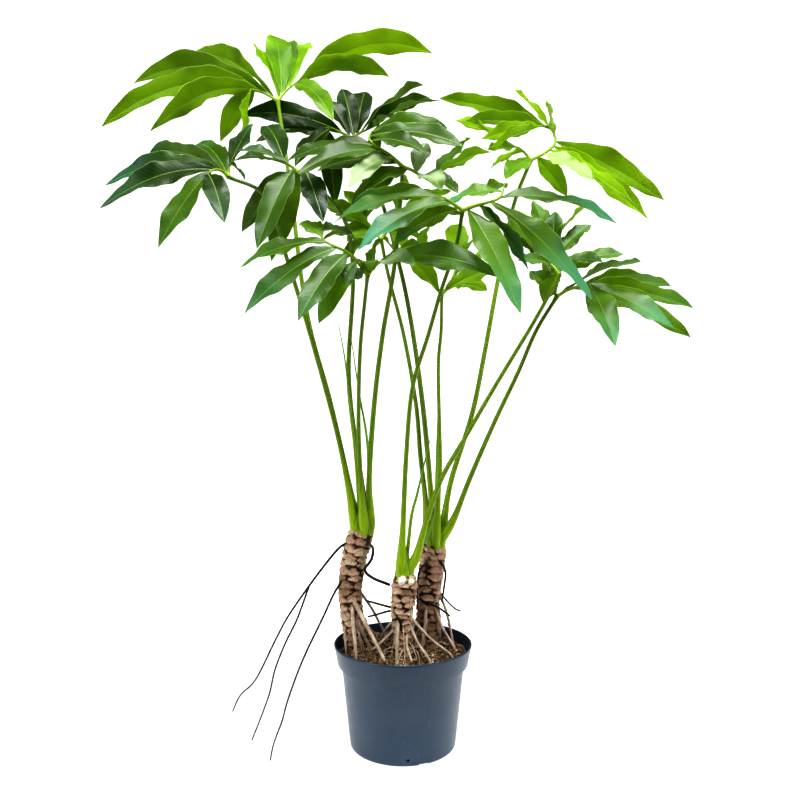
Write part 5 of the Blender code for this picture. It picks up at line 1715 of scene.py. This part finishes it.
    def roots(self, plan: TrunkPlan) -> None:
        """Builds the prop roots, the roots in the air, and fine rootlets round the trunk's foot.

        Args:
            plan: The trunk.
        """
        draw = random.Random(plan.node + " roots")
        prop, air = PathSet(), PathSet()
        for paths, roots, skin in ((prop, plan.prop_roots, self.root_skin),
                                   (air, plan.air_roots, self.air_skin)):
            for root in roots:
                line = smooth_line([centimetres(p) for p in root.line], self.root_spacing)
                paths.add(line, [r * MM * skin for r in spread(len(line), root.thick, root.thin)])
        for _ in range(self.rootlets):
            prop.add(*self.rootlet(plan, draw))
        for name, paths, finish, knobs in (("prop_roots", prop, self.prop, 0.0011),
                                           ("air_roots", air, self.air, 0.0006)):
            piece = grown(f"{plan.node}_{name}", paths.mesh("root paths"), self.stem, Ring_Spacing=0.004,
                          Sides=12, Knobs=knobs, Knob_Size=130.0, Finish=finish)
            settle(piece, plan.node)

    def rootlet(self, plan: TrunkPlan, draw: random.Random) -> tuple[list[Vector], list[float]]:
        """A thin root from the lower trunk to the soil.

        Args:
            plan: The trunk.
            draw: The source of chance.

        Returns:
            Its points and radii.
        """
        lowest, highest = self.rootlet_from
        spine = smooth_line([centimetres(p) for p in plan.line], 0.01)
        start = draw.choice([p for p in spine if lowest < p.z < highest])
        turn = draw.uniform(0, 2 * math.pi)
        out = Vector((math.cos(turn), math.sin(turn), 0))
        end = Vector((start.x, start.y, self.rootlet_foot)) + out * draw.uniform(0.028, 0.05)
        from_axis = math.hypot(end.x, end.y)
        if from_axis > self.rootlet_limit:
            end -= Vector((end.x, end.y, 0)).normalized() * (from_axis - self.rootlet_limit)
        wobble = Vector((draw.uniform(-1, 1), draw.uniform(-1, 1), 0)) * 0.006
        middle = (start + out * 0.02).lerp(end, 0.5) + UP * draw.uniform(0.002, 0.012) + wobble
        line = smooth_line([start + out * 0.012, middle, end, end - UP * 0.006], 0.006)
        thick = draw.uniform(0.0005, 0.0011)
        return line, spread(len(line), thick, thick * 0.6)

    def stubs(self, plan: TrunkPlan) -> None:
        """Builds the cut leaf stubs: a short green stump with a white face.

        Args:
            plan: The trunk.
        """
        angle = np.linspace(0, 2 * math.pi, self.stub_sides, endpoint=False)
        faces = lattice_faces(len(self.stub_rings) + 1, self.stub_sides, wrap=True)
        slots = np.repeat([0] + [1] * (len(self.stub_rings) - 1), self.stub_sides)
        for number, (start, way, millimetres) in enumerate(plan.stubs):
            wobble = 1 + 0.16 * np.sin(2 * angle + number) + 0.07 * np.sin(5 * angle + 2 * number)
            points = np.concatenate([np.zeros((self.stub_sides, 3)),
                                     *(ring_points(millimetres * MM * share * wobble, height, angle)
                                       for height, share in self.stub_rings)])
            turn = Vector(way).normalized().to_track_quat("Z", "Y").to_matrix().to_4x4()
            move = np.array(Matrix.Translation(centimetres(start)) @ turn)
            sheet = Sheet()
            sheet.add(points @ move[:3, :3].T + move[:3, 3], faces, slots, share=0.0, tone=0.5)
            piece = sheet.build(f"{plan.node}_cut_stub_{number + 1}", [self.skin, self.cut])
            weld(piece)
            settle(piece, plan.node)

    def heart(self, plan: TrunkPlan) -> None:
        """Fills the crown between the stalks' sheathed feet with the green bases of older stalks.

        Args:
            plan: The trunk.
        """
        top = centimetres(plan.top)
        bases = PathSet()
        for i in range(self.heart_stems):
            turn = 2 * math.pi * i / self.heart_stems + 0.4
            out = Vector((math.cos(turn), math.sin(turn), 0)) * (plan.top_radius * CM - self.heart_inset)
            tip = 0.046 + 0.006 * (i % 3)
            line = smooth_line([top + out * inwards + UP * height for inwards, height in
                                ((1.0, -0.006), (0.95, 0.012), (0.6, 0.030), (0.35, tip))], 0.004)
            bases.add(line, spread(len(line), 0.0088, 0.0012, 1.4), 0.75)
        piece = grown(f"{plan.node}_crown_sheaths", bases.mesh("sheath paths"), self.stem, Ring_Spacing=0.003,
                      Sides=14, Knobs=0.0006, Knob_Size=110.0, Finish=self.skin)
        settle(piece, plan.node)

    def build(self) -> None:
        """Builds and dresses every trunk."""
        for plan in TRUNKS.values():
            settle(self.surface(plan), plan.node)
            self.roots(plan)
            self.heart(plan)
            self.stubs(plan)


@dataclass(frozen=True)
class Pot:
    """The grower's pot: a thin tapered wall, a flared rim band with a rolled lip, and drain holes."""

    finish: Material
    height: float = 0.175
    rim: float = 0.120
    band_height: float = 0.035
    band_foot: float = 0.1128
    body_top: float = 0.1062
    base: float = 0.0915
    corner: float = 0.004
    wall: float = 0.002
    fillet: float = 0.001
    lip: float = 0.0036
    band_step: float = 0.002
    band_slope: float = 0.003
    floor: float = 0.0035
    steps: int = 160
    drains: int = 4
    drain_ring: float = 0.070
    drain_radius: float = 0.0045
    wall_drains: int = 3
    wall_drain_turn: float = 5
    wall_drain_radius: float = 0.0024
    wall_drain_height: float = 0.011
    notch_turn: float = 22.0
    notch_depth: float = 0.026
    notch_width: float = 0.018
    notch_height: float = 0.0031
    sharp_angle: float = math.radians(32)

    def profile(self) -> list[tuple[float, float]]:
        """The wall's section as radius and height, from the middle of the floor over the lip to the base.

        Returns:
            The section's points.
        """
        foot = self.height - self.band_height
        middle, round_off = self.rim - self.lip / 2, self.lip / 2
        lip = [(middle - round_off * math.cos(a), self.height - round_off + round_off * math.sin(a))
               for a in np.linspace(0, math.pi, 9)]
        heel = [(self.base - self.corner * (1 - math.cos(a)), self.corner * (1 - math.sin(a)))
                for a in np.linspace(0, math.pi / 2, 6)]
        return [(0.0, self.floor), (self.base - self.wall - self.fillet, self.floor),
                (self.base - self.wall, self.floor + self.fillet),
                (self.body_top - self.wall, foot - self.band_slope),
                (self.band_foot - self.wall, foot + self.band_slope),
                (self.rim - self.lip - 0.0002, self.height - self.lip), *lip,
                (self.rim - 0.0006, self.height - self.lip - 0.0006),
                (self.rim - 0.0012, self.height - 0.006),
                (self.band_foot + 0.0004, foot + 0.0012), (self.band_foot, foot + 0.0004),
                (self.band_foot - 0.0008, foot), (self.body_top + 0.0010, foot - 0.0004),
                (self.body_top, foot - self.band_step), *heel, (0.0, 0.0)]

    def inner_radius(self, height: float) -> float:
        """The radius of the pot's inside.

        Args:
            height: The height of the place over the ground.

        Returns:
            The radius there.
        """
        foot = self.height - self.band_height
        heights = [self.floor, foot - self.band_slope, foot + self.band_slope, self.height - self.lip / 2]
        radii = [self.base - self.wall - self.fillet, self.body_top - self.wall, self.band_foot - self.wall,
                 self.rim - self.lip]
        return float(np.interp(height, heights, radii))

    def drill(self, work: bmesh.types.BMesh, at: Vector, turn: Matrix, radius: float) -> None:
        """Adds one drain's cutter, a round rod, to a mesh."""
        bmesh.ops.create_cone(work, cap_ends=True, segments=24, radius1=radius, radius2=radius, depth=0.016,
                              matrix=Matrix.Translation(at) @ turn)

    def cutter(self) -> Object:
        """Builds what is cut out of the pot: drains in the floor and the wall's foot, and a small notch.

        Returns:
            The object, which is removed after the cut.
        """
        work = bmesh.new()
        for i in range(self.drains):
            angle = 2 * math.pi * (i + 0.5) / self.drains
            at = Vector((math.cos(angle), math.sin(angle), 0)) * self.drain_ring
            self.drill(work, at, Matrix.Identity(4), self.drain_radius)
        for i in range(self.wall_drains):
            angle = 2 * math.pi * i / self.wall_drains - math.pi / 2 + math.radians(self.wall_drain_turn)
            at = Vector((math.cos(angle) * self.base, math.sin(angle) * self.base, self.wall_drain_height))
            lay = Matrix.Rotation(angle, 4, "Z") @ Matrix.Rotation(math.pi / 2, 4, "Y")
            self.drill(work, at, lay, self.wall_drain_radius)
        notch = Matrix.Rotation(math.radians(self.notch_turn - 90), 4, "Z")
        notch = notch @ Matrix.Translation((self.base, 0, 0))
        size = Matrix.Diagonal((self.notch_depth, self.notch_width, 2 * self.notch_height, 1))
        bmesh.ops.create_cube(work, size=1.0, matrix=notch @ size)
        mesh = bpy.data.meshes.new("drains")
        work.to_mesh(mesh)
        work.free()
        return put_in_scene("drains", mesh)

    def build(self) -> None:
        """Builds and dresses the pot."""
        section = self.profile()
        turn = np.linspace(0, 2 * math.pi, self.steps, endpoint=False)
        points = np.concatenate([ring_points(radius, height, turn) for radius, height in section])
        faces = lattice_faces(len(section), self.steps, wrap=True)
        sheet = Sheet()
        sheet.add(points, faces, np.zeros(len(faces)))
        thing = sheet.build("grower_pot", [self.finish])
        weld(thing, outwards=True)
        drains = self.cutter()
        cut = thing.modifiers.new("Drains", "BOOLEAN")
        cut.object = drains
        cut.solver = "EXACT"
        bpy.context.view_layer.update()
        shown = thing.evaluated_get(bpy.context.evaluated_depsgraph_get())
        holed = bpy.data.meshes.new_from_object(shown)
        thing.modifiers.clear()
        thing.data = holed
        bpy.data.objects.remove(drains)
        holed.materials.clear()
        holed.materials.append(self.finish)
        holed.shade_smooth()
        holed.set_sharp_from_angle(angle=self.sharp_angle)
        settle(thing, "pot")


@dataclass(frozen=True)
class Soil:
    """The potting soil: a lumpy mound that fills the pot, strewn with bark chips.

    levels are the heights of the rings of points down its side, and lump_lengths the waves of its top.
    """

    pot: Pot
    chips: NodeTree
    finish: Material
    chip_finish: Material
    edge: float = 0.156
    crown: float = 0.164
    rings: int = 70
    around: int = 200
    clear: float = 0.0006
    floor_gap: float = 0.0004
    levels: tuple[float, ...] = (0.143, 0.137, 0.090)
    flat_edge: float = 0.08
    lump_lengths: tuple[float, ...] = (0.060, 0.035, 0.021, 0.013, 0.008, 0.005)
    lump_height: float = 0.045

    def lumps(self, x: np.ndarray, y: np.ndarray) -> np.ndarray:
        """Uneven height over the mound, from a few crossed waves.

        Args:
            x: How far right each point lies.
            y: How far back each point lies.

        Returns:
            How far each point is raised.
        """
        draw = np.random.default_rng(12)
        total = np.zeros_like(x)
        for length in self.lump_lengths:
            for _ in range(4):
                way = draw.uniform(0, 2 * math.pi)
                run = (x * math.cos(way) + y * math.sin(way)) * 2 * math.pi / length
                total += length * self.lump_height * np.sin(run + draw.uniform(0, 6.28))
        return total

    def build(self) -> None:
        """Builds and dresses the soil and its chips."""
        reach = self.pot.inner_radius(self.edge) - self.clear
        share = np.linspace(0, 1, self.rings)
        turn = np.linspace(0, 2 * math.pi, self.around, endpoint=False)
        radius, angle = np.meshgrid(share * reach, turn, indexing="ij")
        x, y = radius * np.cos(angle), radius * np.sin(angle)
        fade = np.clip((1 - radius / reach) / self.flat_edge, 0, 1)
        z = self.crown - (self.crown - self.edge) * (radius / reach) ** 2 + self.lumps(x, y) * fade
        lowest = self.pot.floor + self.floor_gap
        points = np.concatenate([np.stack([x, y, z], axis=-1).reshape(-1, 3),
                                 *(ring_points(self.pot.inner_radius(level) - self.clear, level, turn)
                                   for level in (*self.levels, lowest)),
                                 ring_points(0.0, lowest, turn)])
        faces = lattice_faces(len(points) // self.around, self.around, wrap=True)[:, ::-1]
        sheet = Sheet()
        sheet.add(points, faces, np.zeros(len(faces)))
        thing = sheet.build("potting_soil", [self.finish])
        weld(thing)
        strewn = grown("bark_chips", thing.data.copy(), self.chips, Density=26000.0, Smallest=0.0012,
                       Largest=0.0040, Seed=7, Finish=self.chip_finish)
        settle(thing, "soil")
        settle(strewn, "soil")


@dataclass(frozen=True)
class SoftBox:
    """A square-on studio light: where it hangs, what it points at, its width and height, and its power."""

    name: str
    at: Point
    aim: Point
    size: tuple[float, float]
    watts: float

    def hang(self) -> None:
        """Adds the light to the scene."""
        lamp = bpy.data.lights.new(self.name, "AREA")
        lamp.shape = "RECTANGLE"
        lamp.size, lamp.size_y = self.size
        lamp.energy = self.watts
        holder = put_in_scene(self.name, lamp)
        holder.location = self.at
        holder.rotation_euler = (Vector(self.aim) - Vector(self.at)).to_track_quat("-Z", "Y").to_euler()


@dataclass(frozen=True)
class Studio:
    """A pale floor, soft lights and the photograph's camera, which stands at half the plant's height.

    front_glow, side_glow and back_glow are the sky's strengths as a light from behind the camera, from both
    sides and from behind the plant, and seen_glow is its strength to the eye.
    """

    distance: float = 1.302
    eye: float = 0.597
    aside: float = -0.005
    focal_pixels: float = 745
    frame_pixels: float = 800
    sensor: float = 36
    floor_radius: float = 14.0
    floor_front: float = 0.30
    floor_light: str = "#c8c8c7"
    floor_dark: Wash = Wash("#c2c2c1", 1.0, Pattern(400, 2, 0.3, 0.8))
    floor_glow: float = 0.55
    floor_glow_rise: float = 0.42
    front_glow: float = 0.04
    side_glow: float = 0.55
    back_glow: float = 0.12
    seen_glow: float = 1.05
    boxes: tuple[SoftBox, ...] = (
        SoftBox("top_box", (0.15, -0.7, 3.0), (0.0, 0.0, 0.8), (1.2, 1.2), 86),
        SoftBox("left_box", (-2.0, -1.6, 1.5), (0.0, 0.0, 0.7), (0.8, 2.2), 27),
        SoftBox("right_box", (2.0, -1.6, 1.5), (0.0, 0.0, 0.7), (0.8, 2.2), 22),
    )

    def floor(self) -> None:
        """Lays the floor, a lit white sweep that ends just before the pot, out of the camera's view."""
        draw = Shader("matt_studio_floor")
        away = add_node(draw.tree, "ShaderNodeVectorMath", {0: draw.place}, operation="LENGTH")
        far = draw.ramp(away.outputs["Value"], 0.12, 1.0)
        glow = draw.math("MULTIPLY_ADD", far, self.floor_glow_rise, self.floor_glow)
        finish = draw.finish(draw.principled(
            Base_Color=draw.lay(self.floor_light, self.floor_dark), Roughness=0.9, Specular_IOR_Level=0.1,
            Emission_Color=linear("#ffffff"), Emission_Strength=glow))
        work = bmesh.new()
        bmesh.ops.create_circle(work, cap_ends=True, segments=96, radius=self.floor_radius)
        bmesh.ops.bisect_plane(work, geom=[*work.verts, *work.edges, *work.faces],
                               plane_co=FRONT * self.floor_front, plane_no=FRONT, clear_outer=True)
        mesh = bpy.data.meshes.new("studio_floor")
        work.to_mesh(mesh)
        work.free()
        mesh.materials.append(finish)
        put_in_scene("studio_floor", mesh)

    def sky(self) -> None:
        """Surrounds the stage: white to the eye, and as a light brightest at both sides."""
        world = bpy.data.worlds.new("studio_sky")
        world.use_nodes = True
        tree = world.node_tree
        way = add_node(tree, "ShaderNodeTexCoord").outputs["Generated"]
        back = add_node(tree, "ShaderNodeSeparateXYZ", {0: way}).outputs["Y"]
        rise, fall = (
            add_node(tree, "ShaderNodeMapRange",
                     {"Value": back, "From Min": start, "From Max": end, "To Min": low, "To Max": high},
                     interpolation_type="SMOOTHSTEP").outputs["Result"]
            for start, end, low, high in ((-0.85, -0.35, self.front_glow, self.side_glow),
                                          (0.0, 0.7, 0.0, self.side_glow - self.back_glow)))
        glow = add_node(tree, "ShaderNodeMath", {0: rise, 1: fall}, operation="SUBTRACT").outputs[0]
        seen = add_node(tree, "ShaderNodeLightPath").outputs["Is Camera Ray"]
        strength = add_node(tree, "ShaderNodeMix", {0: seen, 2: glow, 3: self.seen_glow}).outputs[0]
        tree.links.new(strength, tree.nodes["Background"].inputs["Strength"])
        tree.nodes["Background"].inputs["Color"].default_value = linear("#ffffff")
        bpy.context.scene.world = world

    def camera(self) -> None:
        """Sets up the photograph's camera, level and square on to the plant."""
        camera = bpy.data.cameras.new("photo_camera")
        camera.sensor_width = self.sensor
        camera.lens = self.sensor * self.focal_pixels / self.frame_pixels
        camera.clip_start, camera.clip_end = 0.05, 60
        holder = put_in_scene("photo_camera", camera)
        holder.location = (self.aside, -self.distance, self.eye)
        holder.rotation_euler = (math.pi / 2, 0, 0)
        bpy.context.scene.camera = holder

    def build(self) -> None:
        """Sets up the floor, the sky, the lights, the colour view and the camera."""
        self.floor()
        self.sky()
        for box in self.boxes:
            box.hang()
        shown = bpy.context.scene.view_settings
        shown.view_transform, shown.look = "Standard", "High Contrast"
        self.camera()


def main() -> None:
    """Builds the plant's looks piece by piece, then the studio."""
    logging.basicConfig(level=logging.INFO, format="%(message)s")
    # The pattern of the leaves' painted sheen.
    painted_sheen = Pattern(75, 1, 0.42, 0.62)
    upper = LeafFinish(LeafSide.UPPER, mature="#223c06", young="#669008", painted_sheen=Wash("#7c9a70", 0.45, painted_sheen),
                       through="#8cb43c", through_young="#d6f060", roughness=0.38, shine_through=0.20).build()
    under = LeafFinish(LeafSide.UNDER, mature="#587408", young="#a4d216", painted_sheen=Wash("#8aa070", 0.45, painted_sheen),
                       through="#94bc3c", through_young="#dcf464", roughness=0.5, shine_through=0.36).build()
    stem = stem_tree()
    skin = StalkFinish().build()
    pot = Pot(PotFinish().build())
    pot.build()
    Soil(pot, scatter_tree(), SoilFinish().build(), ChipFinish().build()).build()
    Trunks(stem, BarkFinish().build(),
           RootFinish("dry_prop_root", "#ab9780", "#d3c5b0", "#665446", 0.8).build(),
           RootFinish("dark_air_root", "#1d1914", "#34302a", "#0e0c0a", 0.5).build(),
           CutFinish().build(), skin).build()
    Spears(stem, SpearFinish().build()).build()
    Fronds(stem, upper, under, skin).build()
    Studio().build()
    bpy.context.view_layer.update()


if __name__ == "__main__":
    main()
